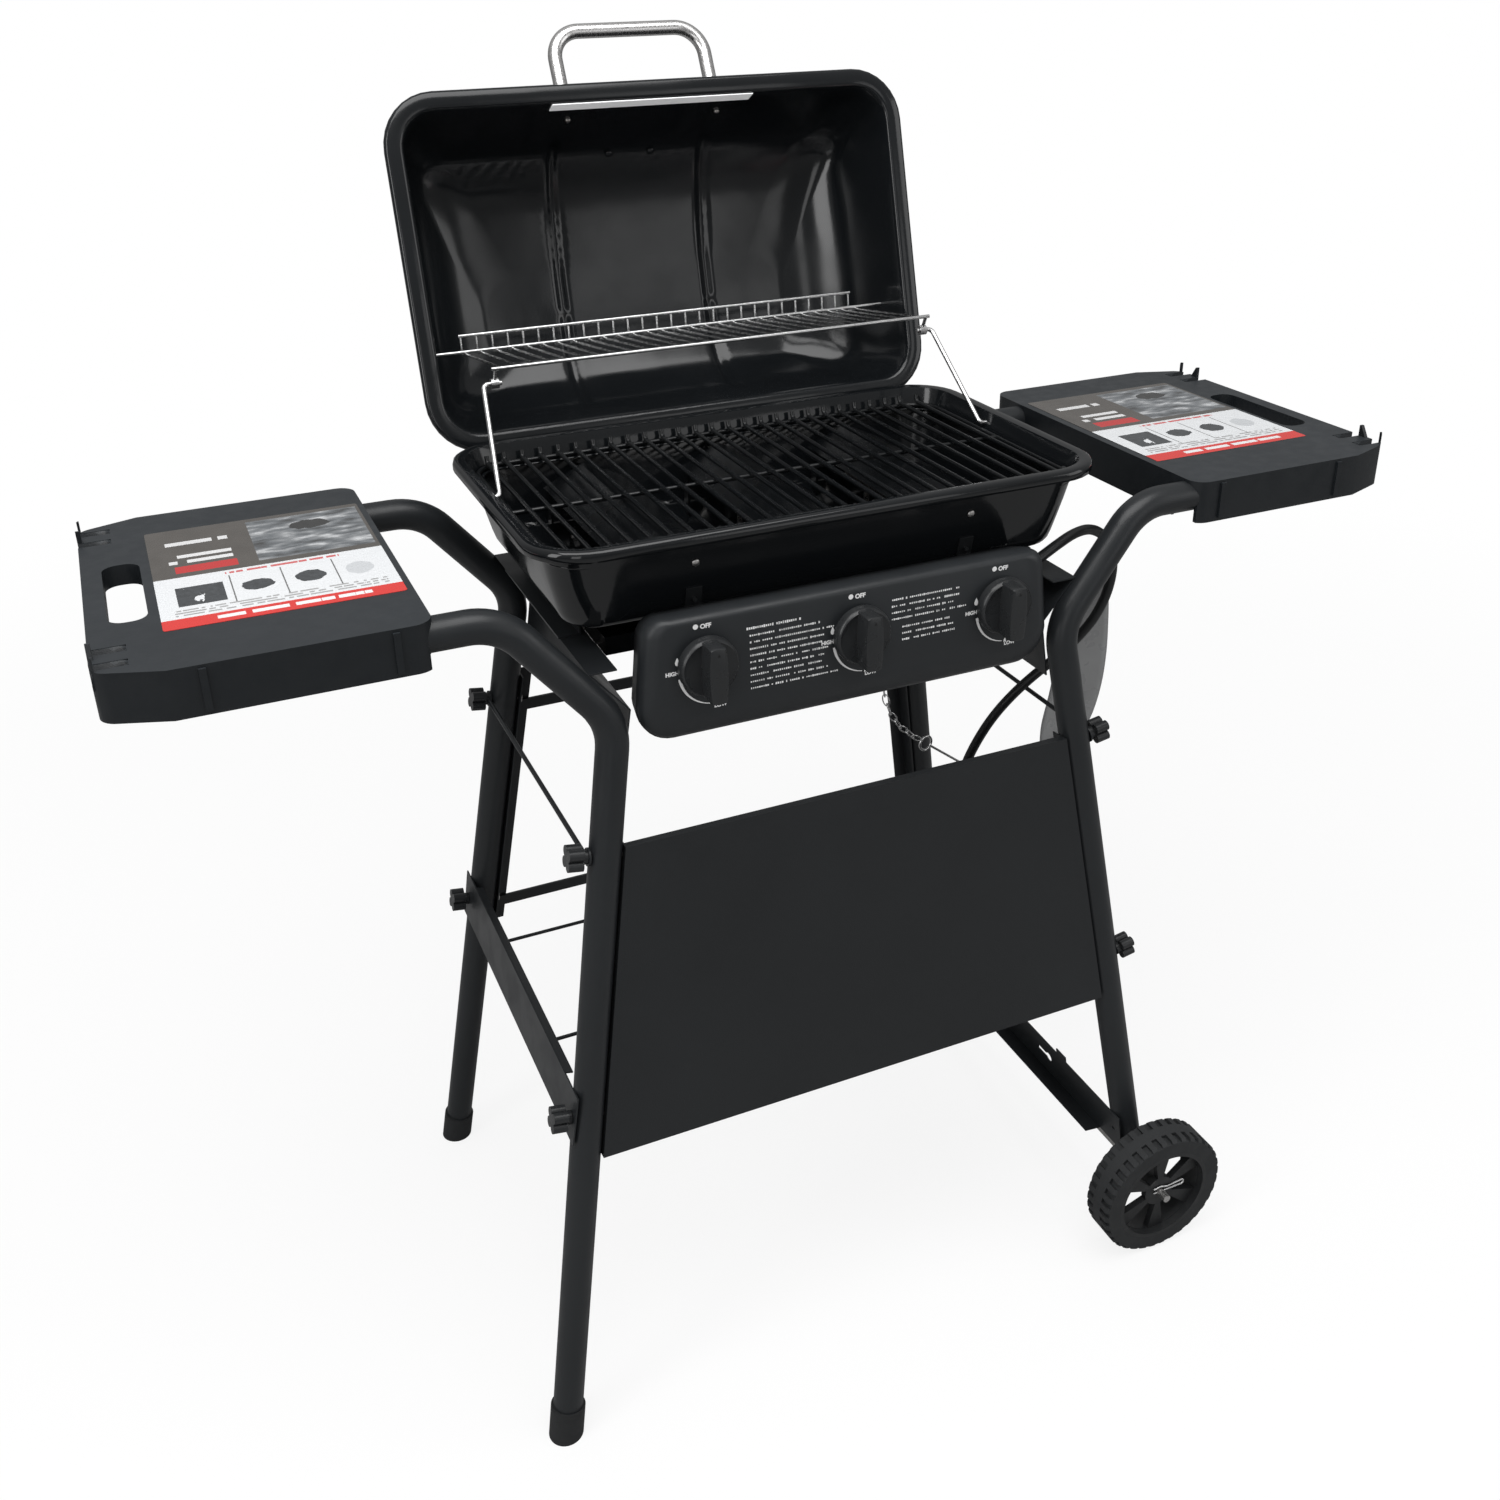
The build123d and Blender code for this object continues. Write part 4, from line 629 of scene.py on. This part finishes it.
def printedFinish():
    f = Finish("printedPanel", (0.05, 0.05, 0.05), Roughness=0.22, Coat_Weight=0.3, Coat_Roughness=0.1)
    uv = f.add("ShaderNodeUVMap", {"uv_map": "panel"})
    split = f.add("ShaderNodeSeparateXYZ", None, (uv,))
    parts = split.socket.node.outputs
    u, v = Link(f, parts[0]), Link(f, parts[1])

    def area(left, right, low, high):
        return (u > left) * (u < right) * (v > low) * (v < high)

    def blob(x, y, wide, high, rough=0.0):
        wobble = f.noise(30.0, 2.0, uv) * rough
        dx, dy = (u - x) / wide, (v - y) / high
        return (dx * dx + dy * dy + wobble) < 1.0

    # dark upper part with a red block, a picture-like area, a white field with dark shapes, a red band
    colour = f.blend(f.noise(8.0, 3.0, uv), shade(0.045, 0.12), shade(0.075, 0.1))
    stretched = f.add("ShaderNodeMapping", None, {"Vector": uv, "Scale": (1.0, 3.0, 1.0)})
    greys = [(0.3, shade(0.03)), (0.46, shade(0.12, -0.08)),
             (0.56, shade(0.2, -0.04)), (0.7, shade(0.5, -0.02))]
    pictures = f.add("ShaderNodeValToRGB", {"stops": greys}, (f.noise(7.0, 4.0, stretched),))
    pictureArea = area(0.46, 0.985, 0.52, 0.965)
    colour = f.blend(pictureArea, colour, pictures)
    colour = f.blend(blob(0.74, 0.84, 0.12, 0.06, 0.7) * pictureArea, colour, shade(0.02))
    colour = f.blend(bars(f, u, v, 1.0, 0.80, 0.87, 0.08, 0.36, 2.0, 9.0), colour, shade(0.6))
    colour = f.blend(bars(f, u, v, 2.0, 0.60, 0.72, 0.08, 0.36, 5.0, 12.0), colour, shade(0.62))
    colour = f.blend(area(0.1, 0.37, 0.515, 0.585), colour, (0.42, 0.02, 0.02, 1))
    colour = f.blend(area(0.0, 1.0, 0.085, 0.475), colour, shade(0.66, -0.02))
    dark = area(0.08, 0.28, 0.19, 0.37) * (f.noise(14.0, 3.0, uv) > 0.36)
    for x, wide, high in ((0.42, 0.085, 0.06), (0.645, 0.08, 0.065)):
        dark = dark + blob(x, 0.29, wide, high, 0.6)
    food = f.blend(f.noise(40.0, 3.0, uv), shade(0.012, -0.1), shade(0.07, -0.1))
    colour = f.blend(dark > 0.5, colour, food)
    colour = f.blend(blob(0.86, 0.29, 0.07, 0.07, 0.5), colour, shade(0.5, -0.03))
    for x in (0.31, 0.53, 0.755):
        colour = f.blend(area(x, x + 0.006, 0.16, 0.42), colour, shade(0.12))
    colour = f.blend(bars(f, u, v, 1.0, 0.43, 0.465, 0.3, 0.8, 9.0, 40.0), colour, (0.5, 0.1, 0.1, 1))
    colour = f.blend(bars(f, u, v, 3.0, 0.1, 0.165, 0.06, 0.95, 3.0, 30.0), colour, shade(0.3))
    colour = f.blend(area(0.0, 1.0, 0.0, 0.085), colour, (0.55, 0.025, 0.02, 1))
    colour = f.blend(bars(f, u, v, 1.0, 0.02, 0.072, 0.22, 0.86, 1.0, 22.0), colour, shade(0.7))
    f.set(Base_Color=colour, Roughness=f.span(f.noise(20.0, 3.0, uv), 0.3, 0.7, 0.2, 0.34))
    return f.set(Normal=f.bump(f.noise(7.0, 2.0, uv), 0.0006, 0.4))


printedPanel = printedFinish()
for side, (x, y) in printed["places"].items():
    form = bmesh.new()
    wide, deep = printed["size"]
    base = ring(wide / 2000, deep / 2000, printed["corner"] / 1000, 0, corner=4)
    face = form.faces.new([form.verts.new(at(x, y, printed["top"]) + point) for point in base])
    solid = bmesh.ops.extrude_face_region(form, geom=[face])
    for v in solid["geom"]:
        if isinstance(v, bmesh.types.BMVert):
            v.co.z += printed["thick"] / 1000
    bmesh.ops.recalc_face_normals(form, faces=form.faces)
    layer = form.loops.layers.uv.new("panel")
    corner = at(x - wide / 2, y - deep / 2, 0)
    for face in form.faces:
        for loop in face.loops:
            spot = loop.vert.co
            loop[layer].uv = ((spot.x - corner.x) / wide * 1000, (spot.y - corner.y) / deep * 1000)
    piece = linked(side + "_printed_panel", meshOf(side + "_printed_panel", form, 30), printedPanel, "cart")
print("shelves made")


# control panel with its markings

# each ring holds depth, half width, low, high, lower corner, upper corner
consoleShape = {"wall": 0.003, "taperFrom": 815.0, "taper": 0.13, "rings": [
    (-141, 216, 771, 884, 30, 16), (-166, 221, 767.6, 892, 34, 18), (-174, 221, 768.2, 893, 34, 18),
    (-180, 218, 774, 892.2, 32, 17), (-183.5, 213.5, 782, 890.6, 29, 15),
    (-185.5, 208.5, 789.5, 888.6, 26, 13), (-186, 206, 794, 887.2, 24, 12)]}


def panelRing(depth, half, low, high, lower, upper, steps=8):
    points = []
    for side, level, corner, start in ((1, high - upper, upper, 0), (-1, high - upper, upper, 90),
                                       (-1, low + lower, lower, 180), (1, low + lower, lower, 270)):
        for step in range(steps + 1):
            turn = math.radians(start + 90 * step / steps)
            across, up = side * (half - corner) + corner * math.cos(turn), level + corner * math.sin(turn)
            across -= side * max(0.0, up - consoleShape["taperFrom"]) * consoleShape["taper"]
            points.append(at(across, depth, up))
    return points


consoleForm = loft([panelRing(*row) for row in consoleShape["rings"]])
front = at(0, consoleShape["rings"][-1][0] + 0.1, 0).y
frontEdges = [e for e in consoleForm.edges if e.is_boundary and e.verts[0].co.y < front]
bmesh.ops.contextual_create(consoleForm, geom=frontEdges)
bmesh.ops.recalc_face_normals(consoleForm, faces=consoleForm.faces)
consoleForm.normal_update()
if max(consoleForm.faces, key=lambda f: f.calc_area()).normal.y > 0:
    bmesh.ops.reverse_faces(consoleForm, faces=consoleForm.faces)
consoleMesh = meshOf("control_panel_shell", consoleForm, 50)
consolePiece = linked("control_panel_shell", consoleMesh, consolePaint, "cart")
walled(consolePiece, consoleShape["wall"])
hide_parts("control_panel")

# each sign holds its shape or word, its place beside the knob's middle, its height and its size
marks = {"face": -186.0, "proud": 0.15, "knobs": (-158.0, 0.0, 158.0), "dialUp": 838.0, "dialAside": 10.0,
         "arcRadius": 35.5, "arcFrom": 187.0, "arcTo": 262.0, "arcSteps": 24, "arcHalf": (1.5, 0.35),
         "signs": [("dot", -8, 883.0, 2.6), ("OFF", -3.5, 880.4, 6.2), ("flame", -27, 851.5, 1.0),
                   ("HIGH", -39, 838.6, 5.4), ("flame", 8.8, 802.8, 0.7), ("LOW", 8, 797.6, 5.4)],
         "letter": 2.1, "linePitch": 0.0068, "letterRise": 0.85,
         "blocks": [(-116, 871, 58, 1, 3.6), (-113, 863.5, 92, 9, 2.7),
                    (36, 871, 88, 4, 2.7), (48, 841, 64, 3, 2.7)]}


def plateAt(x, z, outline):
    # flat shape on the panel's face, from points in millimetres
    form = bmesh.new()
    verts = [form.verts.new(at(x + px, marks["face"] - marks["proud"], z + pz)) for px, pz in outline]
    form.faces.new(verts)
    return form


def wordForm(text, x, z, size):
    curve = bpy.data.curves.new("word", "FONT")
    curve.body, curve.align_x, curve.size = text, "LEFT", size / 1000
    curve.offset = size / 22000  # makes the strokes a little bolder
    holder = bpy.data.objects.new("word", curve)
    mesh = bpy.data.meshes.new_from_object(holder)
    bpy.data.objects.remove(holder)
    form = bmesh.new()
    form.from_mesh(mesh)
    place = at(x, marks["face"] - marks["proud"], z)
    for v in form.verts:
        v.co = place + Vector((v.co.x, 0, v.co.y))
    return form


def dialMarks(x):
    m = marks
    steps = m["arcSteps"]
    thick, thin = m["arcHalf"]
    outer, inner = [], []
    for i in range(steps + 1):
        share = i / steps
        turn = math.radians(m["arcFrom"] + (m["arcTo"] - m["arcFrom"]) * share)
        half = thick - (thick - thin) * share
        for side, line in ((half, outer), (-half, inner)):
            line.append(((m["arcRadius"] + side) * math.cos(turn), (m["arcRadius"] + side) * math.sin(turn)))
    forms = [plateAt(x + m["dialAside"], m["dialUp"], [outer[i], outer[i + 1], inner[i + 1], inner[i]])
             for i in range(steps)]
    turns = [math.radians(a) for a in range(0, 360, 20)]
    outlines = {"dot": [(math.cos(turn), math.sin(turn)) for turn in turns],
                "flame": [(0, 4.6), (-1.5, 1.8), (-2.3, -0.6), (-1.8, -3.0), (0, -3.9), (1.8, -3.0),
                          (2.4, -0.8), (1.3, 1.6)]}
    for sign, aside, up, size in m["signs"]:
        if sign in outlines:
            forms.append(plateAt(x + aside, up, [(px * size, pz * size) for px, pz in outlines[sign]]))
        else:
            forms.append(wordForm(sign, x + aside, up, size))
    return forms


def treeOf(name, inputs, output):
    # an empty node tree with named inputs and one output, and its inputs as links
    tree = bpy.data.node_groups.new(name, "GeometryNodeTree")
    for label, kind, value in inputs:
        socket = tree.interface.new_socket(label, in_out="INPUT", socket_type="NodeSocket" + kind)
        if value is not None:
            socket.default_value = value
    tree.interface.new_socket(output, in_out="OUTPUT", socket_type="NodeSocketGeometry")
    g = Graph(tree)
    given = tree.nodes.new("NodeGroupInput").outputs
    return g, [Link(g, given[label]) for label, _, _ in inputs]


def realised(g, instances, material, smooth=True):
    real = g.add("GeometryNodeRealizeInstances", None, {"Geometry": instances})
    if smooth:
        real = g.add("GeometryNodeSetShadeSmooth", None, {"Geometry": real})
    dressed = g.add("GeometryNodeSetMaterial", None, {"Geometry": real, "Material": material})
    g.tree.links.new(dressed.socket, g.tree.nodes.new("NodeGroupOutput").inputs[0])
    return g.tree


def printLines():
    # rows of white print: letters of uneven height and width, with gaps, in lines of uneven length
    g, (width, height, rows, pitch, seed, words) = treeOf("printLines", [
        ("Width", "Float", 0.09), ("Height", "Float", 0.0016), ("Rows", "Int", 9), ("Pitch", "Float", 0.0065),
        ("Seed", "Int", 1), ("Words", "Int", 9)], "Lines")

    def chance(low, high, index, seed):
        return g.add("FunctionNodeRandomValue", {"data_type": "FLOAT"},
                     {2: low, 3: high, "ID": index, "Seed": seed}, 1)

    points = g.add("GeometryNodePoints", None, {"Count": rows * words})
    index = g.add("GeometryNodeInputIndex")
    column = index % words
    row = g.add("ShaderNodeMath", {"operation": "FLOOR"}, (index / words,))
    step = width / words
    jitter = chance(0.4, 0.85, index, seed)
    tall = chance(0.55, 1.0, index, seed + 3)
    spot = g.add("ShaderNodeCombineXYZ", None, ((column + 0.5) * step, 0.0, row * pitch * -1))
    placed = g.add("GeometryNodeSetPosition", None, {"Geometry": points, "Position": spot})
    keep = g.add("FunctionNodeRandomValue", {"data_type": "BOOLEAN"},
                 {"Probability": 0.84, "ID": index, "Seed": seed + 7}, 3)
    ragged = chance(0.74, 1.0, row, seed + 11)
    shown = keep * (column / words < ragged)
    kept = g.add("GeometryNodeSeparateGeometry", {"domain": "POINT"},
                 {"Geometry": placed, "Selection": shown})
    square = {"Size X": 1.0, "Size Y": 1.0, "Vertices X": 2, "Vertices Y": 2}
    stroke = g.add("GeometryNodeMeshGrid", None, square)
    upright = g.add("GeometryNodeTransform", None, {"Geometry": stroke, "Rotation": (math.pi / 2, 0, 0)})
    size = g.add("ShaderNodeCombineXYZ", None, (jitter * step, 1.0, tall * height))
    made = g.add("GeometryNodeInstanceOnPoints", None, {"Points": kept, "Instance": upright, "Scale": size})
    return realised(g, made, markWhite, smooth=False)


def grown(name, tree, start=None, **inputs):
    # runs a node tree on an empty or given mesh and returns the plain mesh
    holder = bpy.data.objects.new(name, start or bpy.data.meshes.new(name))
    bpy.context.scene.collection.objects.link(holder)
    modifier = holder.modifiers.new("tree", "NODES")
    modifier.node_group = tree
    for item in tree.interface.items_tree:
        if item.in_out == "INPUT" and item.name in inputs:
            modifier[item.identifier] = inputs[item.name]
    mesh = bpy.data.meshes.new_from_object(holder.evaluated_get(bpy.context.evaluated_depsgraph_get()))
    bpy.data.objects.remove(holder)
    return mesh


linesTree = printLines()
forms = [form for x in marks["knobs"] for form in dialMarks(x)]
for number, (x, z, width, rows, height) in enumerate(marks["blocks"]):
    mesh = grown("lines", linesTree, Width=width / 1000, Height=height / 1000 * marks["letterRise"],
                 Rows=rows, Pitch=marks["linePitch"], Seed=number + 3, Words=int(width / marks["letter"]))
    form = bmesh.new()
    form.from_mesh(mesh)
    bmesh.ops.translate(form, verts=form.verts, vec=at(x, marks["face"] - marks["proud"], z))
    forms.append(form)
joined("panel_markings", forms, markWhite, "cart")
print("control panel made")


# knobs

knobShape = {"up": 846.0, "back": -190.0, "radius": 29.0, "skirt": 12.0, "grip": 20.0, "width": 19.0,
             "round": 2.2, "around": 72, "flankSteps": 14, "tipSteps": 6, "waist": 0.82,
             "pointer": [(0, 23.5), (-1.6, 20.2), (1.6, 20.2)], "pointerProud": 0.12}


def knobForm(x):
    s = knobShape
    form = bmesh.new()
    around, full, skirt = s["around"], s["radius"], s["skirt"]
    profile = [(0, 0), (full - 1.2, 0), (full, 1.2), (full, skirt - 4), (full - 0.9, skirt - 1.6),
               (full - 2.6, skirt), (full - 4.5, skirt - 0.8), (full * 0.5, skirt - 0.6), (0, skirt - 0.5)]
    turns = [2 * math.pi * i / around for i in range(around)]
    rows = []
    for radius, out in profile:
        if radius == 0:
            rows.append([form.verts.new((0, out, 0))] * around)
        else:
            rows.append([form.verts.new((radius * math.cos(turn), out, radius * math.sin(turn)))
                         for turn in turns])
    for lower, upper in zip(rows, rows[1:]):
        for i in range(around):
            face = list(dict.fromkeys((lower[i], lower[(i + 1) % around], upper[(i + 1) % around], upper[i])))
            form.faces.new(face)
    # grip bar with bowed flanks, rounded towards its face
    half, reach, face = s["width"] / 2, full - 0.6, skirt + s["grip"]
    layers = []
    for out, inset in ((skirt - 2.0, 0.0), (face - s["round"], 0.0), (face - 0.6, 0.7), (face, s["round"])):
        loop = []
        edge, tall = half - inset, reach - inset
        top = math.sqrt(max(0.0, tall ** 2 - edge ** 2))
        for sign in (1, -1):
            for i in range(s["flankSteps"] + 1):
                share = i / s["flankSteps"] * 2 - 1
                bow = edge * (s["waist"] + (1 - s["waist"]) * (1 - share * share))
                loop.append((sign * bow, sign * -share * top))
            for i in range(1, s["tipSteps"]):
                turn = math.pi * i / s["tipSteps"]
                rim = top + (tall - top) * math.sin(turn)
                loop.append((sign * edge * s["waist"] * math.cos(turn), -sign * rim))
        layers.append([form.verts.new((px, out, pz)) for px, pz in loop])
    for lower, upper in zip(layers, layers[1:]):
        for i in range(len(lower)):
            form.faces.new((lower[i], lower[(i + 1) % len(lower)], upper[(i + 1) % len(lower)], upper[i]))
    form.faces.new(layers[-1])
    form.faces.new(layers[0])
    bmesh.ops.remove_doubles(form, verts=form.verts, dist=1e-5)
    bmesh.ops.recalc_face_normals(form, faces=form.faces)
    for v in form.verts:
        v.co = at(x + v.co.x, s["back"] - v.co.y, s["up"] + v.co.z)
    bmesh.ops.recalc_face_normals(form, faces=form.faces)
    return form


for side, x in zip(("left", "middle", "right"), marks["knobs"]):
    name, dial = side + "_knob_dressed", side + "_dial"
    piece = linked(name, meshOf(name, knobForm(x), 32), knobPlastic, dial)
    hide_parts(side + "_knob")
    pointer = bmesh.new()
    front = knobShape["back"] - knobShape["skirt"] - knobShape["grip"] - knobShape["pointerProud"]
    corners = [at(x + px, front, knobShape["up"] + pz) for px, pz in knobShape["pointer"]]
    pointer.faces.new([pointer.verts.new(corner) for corner in corners])
    name = side + "_pointer"
    linked(name, meshOf(name, pointer), markDark, dial)
print("knobs made")


# chain links along the chain's line

def chainTree(material):
    g, (line, pitch, wire, width, links) = treeOf("chainLinks", [
        ("Line", "Geometry", None), ("Pitch", "Float", 0.005), ("Wire", "Float", 0.0005),
        ("Width", "Float", 0.0035), ("Links", "Int", 12)], "Chain")
    curve = g.add("GeometryNodeMeshToCurve", None, {"Mesh": line})
    points = g.add("GeometryNodeCurveToPoints", {"mode": "COUNT"}, {"Curve": curve, "Count": links})
    rotation = Link(g, points.socket.node.outputs["Rotation"])
    index = g.add("GeometryNodeInputIndex")
    turned = g.add("ShaderNodeCombineXYZ", None, (0.0, 0.0, index % 2 * (math.pi / 2)))
    spin = g.add("FunctionNodeRotateRotation", {"rotation_space": "LOCAL"},
                 {"Rotation": rotation, "Rotate By": turned})
    circle = g.add("GeometryNodeCurvePrimitiveCircle", None, {"Resolution": 16, "Radius": 0.5})
    longer = g.add("ShaderNodeCombineXYZ", None, (width - wire, (pitch + wire) * 1.12, 1.0))
    oval = g.add("GeometryNodeTransform", None, {"Geometry": circle, "Scale": longer})
    upright = g.add("GeometryNodeTransform", None, {"Geometry": oval, "Rotation": (math.pi / 2, 0, 0)})
    section = g.add("GeometryNodeCurvePrimitiveCircle", None, {"Resolution": 8, "Radius": wire / 2})
    link = g.add("GeometryNodeCurveToMesh", None, {"Curve": upright, "Profile Curve": section})
    made = g.add("GeometryNodeInstanceOnPoints", None, {"Points": points, "Instance": link, "Rotation": spin})
    return realised(g, made, material)


def shortened(line, cut):
    # the line without a stretch at each end
    places, walked = [], 0.0
    stretch = (cut, lengthOf(line) - cut)
    for a, b in zip(line, line[1:]):
        step = (b - a).length
        for mark in stretch:
            if walked <= mark < walked + step:
                places.append(a.lerp(b, (mark - walked) / step))
        walked += step
        if stretch[0] < walked < stretch[1]:
            places.append(b)
    return places


linkLine = shortened(chainLine, chain["pitch"] * chain["endShare"])
lineMesh = bpy.data.meshes.new("chain_path")
lineMesh.from_pydata(linkLine, [(i, i + 1) for i in range(len(linkLine) - 1)], [])
links = round(lengthOf(linkLine) / chain["pitch"]) + 1
chainMesh = grown("chain", chainTree(wireChrome), lineMesh, Pitch=lengthOf(linkLine) / (links - 1),
                  Wire=chain["wire"], Width=chain["width"], Links=links)
chainPiece = linked("match_chain_dressed", chainMesh, wireChrome, "cart")
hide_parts("match_chain")
lengthOf(chainLine)
print("chain made")


# round heads: screws in the bowl's front, push nuts and handle screws in the lid

def headTree():
    g, (places, radius, rise, facing, finish) = treeOf("roundHeads", [
        ("Places", "Geometry", None), ("Radius", "Float", 0.004), ("Rise", "Float", 0.0015),
        ("Facing", "Vector", (0, -1, 0)), ("Finish", "Material", None)], "Heads")
    ball = g.add("GeometryNodeMeshUVSphere", None, {"Segments": 24, "Rings": 12, "Radius": 1.0})
    flat = g.add("ShaderNodeCombineXYZ", None, (radius, radius, rise))
    dome = g.add("GeometryNodeTransform", None, {"Geometry": ball, "Scale": flat})
    turned = g.add("FunctionNodeAlignRotationToVector", {"axis": "Z"}, {"Vector": facing})
    made = g.add("GeometryNodeInstanceOnPoints", None,
                 {"Points": places, "Instance": dome, "Rotation": turned})
    return realised(g, made, finish)


heads = headTree()
bowlScrews = {"x": 147.0, "up": 927.0, "y": -143.4, "facing": (0, -0.97, -0.24),
              "radius": 0.0038, "rise": 0.0016}
lidNuts = {"x": 26.0, "up": 112.0, "clear": 0.0003, "radius": 0.0045, "rise": 0.0022}
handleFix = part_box("handle_screws")
gripScrews = {"x": (handleFix[1].x - handleFix[0].x) * 500 - 6.5, "up": 48.0, "clear": 0.0006,
              "radius": 0.0036, "rise": 0.0026}


def roundHeads(name, places, facing, sizes, material, body):
    spots = bpy.data.meshes.new(name + "_spots")
    spots.from_pydata(places, [], [])
    mesh = grown(name, heads, spots, Radius=sizes["radius"], Rise=sizes["rise"], Facing=facing,
                 Finish=material)
    return linked(name, mesh, material, body)


def lidHeads(name, sizes, material):
    # a pair of heads on the open lid's inside, from the closed lid's height and lean
    s = lidShape
    for (h0, _, f0, _), (h1, _, f1, _) in zip(s["leans"], s["leans"][1:]):
        if h0 <= sizes["up"] <= h1:
            lean = f0 + (f1 - f0) * (sizes["up"] - h0) / (h1 - h0)
            facing = Vector((0, h1 - h0, f0 - f1)).normalized()
    places = []
    for side in (-1, 1):
        outer = Vector((side * sizes["x"] / 1000, s["middle"] - s["half"][1] + lean / 1000,
                        s["closedRim"] + sizes["up"] / 1000))
        places.append(openLid @ (home + (outer + facing * (s["wall"] + sizes["clear"]))))
    return roundHeads(name, places, openLid.to_3x3() @ facing, sizes, material, "lid")


spots = [at(side * bowlScrews["x"], bowlScrews["y"], bowlScrews["up"]) for side in (-1, 1)]
roundHeads("bowl_screws", spots, bowlScrews["facing"], bowlScrews, zinc, "cart")
lidHeads("lid_nuts", lidNuts, lidEnamel)
gripPiece = lidHeads("handle_screw_heads", gripScrews, burnerSteel)
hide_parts("handle_screws")
print("screw heads made")


# bent tabs behind the burners

# the strip's side outline holds y and z
tabs = {"aside": 4.0, "half": 10.5, "thick": 0.0016,
        "outline": [(132, 905), (164, 905), (166, 907), (166, 927), (168, 929), (173, 929)]}
strips = []
for x in marks["knobs"]:
    strip = bmesh.new()
    sides = [x + tabs["aside"] + side * tabs["half"] for side in (-1, 1)]
    rows = [[strip.verts.new(at(across, y, z)) for across in sides] for y, z in tabs["outline"]]
    for lower, upper in zip(rows, rows[1:]):
        strip.faces.new((lower[0], lower[1], upper[1], upper[0]))
    strips.append(strip)
tabPiece = joined("burner_tabs", strips, burnerSteel, "cart", 60)
walled(tabPiece, tabs["thick"], 0)
print("burner tabs made")


# pockets under the shelves' notches

pockets = {"outer": 667.4, "inner": 637.4, "near": (128.0, 158.0), "wide": 13.0, "top": 929.6, "low": 913.0,
           "wall": 0.0014, "steps": 8}


def pocketForm(side, y0, y1):
    middle, radius = (y0 + y1) / 2, abs(y1 - y0) / 2
    line = [(pockets["outer"], middle - radius)]
    for step in range(pockets["steps"] + 1):
        turn = math.pi * (1.5 - step / pockets["steps"])
        line.append((pockets["inner"] + radius + radius * math.cos(turn), middle + radius * math.sin(turn)))
    line.append((pockets["outer"], middle + radius))
    form = bmesh.new()
    heights = (pockets["top"], pockets["low"])
    upper, lower = ([form.verts.new(at(side * x, y, z)) for x, y in line] for z in heights)
    for i in range(len(line) - 1):
        form.faces.new((upper[i], upper[i + 1], lower[i + 1], lower[i]))
    form.faces.new(lower)
    bmesh.ops.recalc_face_normals(form, faces=form.faces)
    return form


for name, side in (("left", -1), ("right", 1)):
    forms = []
    for end in (-1, 1):
        for near in pockets["near"]:
            start = middleBack + end * near
            forms.append(pocketForm(side, start, start + end * pockets["wide"]))
    pocketPiece = joined(name + "_notch_pockets", forms, shelfPlastic, "cart", 50)
    walled(pocketPiece, pockets["wall"], 0)
print("notch pockets made")


# plain grey tag of stiff film on the hose

# each row holds height, depth, left and right
tag = {"rows": [(822, -101.0, 343, 357), (812, -97, 330, 360), (790, -93, 318, 362), (747, -88, 311, 369),
                (700, -77, 310, 379), (655, -67, 311, 384), (615, -61, 308, 380), (588, -60, 308, 368)],
       "steps": 5, "columns": 10, "bow": 5.0, "flatTop": 60.0, "thick": 0.0005}
tagForm = bmesh.new()
grid = []
for z, y, left, right in smoothed(tag["rows"], tag["steps"]):
    row = []
    for i in range(tag["columns"] + 1):
        share = i / tag["columns"]
        bow = tag["bow"] * math.sin(math.pi * share) * min(1.0, (tag["rows"][0][0] - z) / tag["flatTop"])
        row.append(tagForm.verts.new(at(left + (right - left) * share, y + bow, z)))
    grid.append(row)
for lower, upper in zip(grid, grid[1:]):
    for i in range(tag["columns"]):
        tagForm.faces.new((lower[i], lower[i + 1], upper[i + 1], upper[i]))
tagPiece = linked("hose_tag", meshOf("hose_tag", tagForm, 60), tagFilm, "cart")
walled(tagPiece, tag["thick"], 0)
print("tag made")
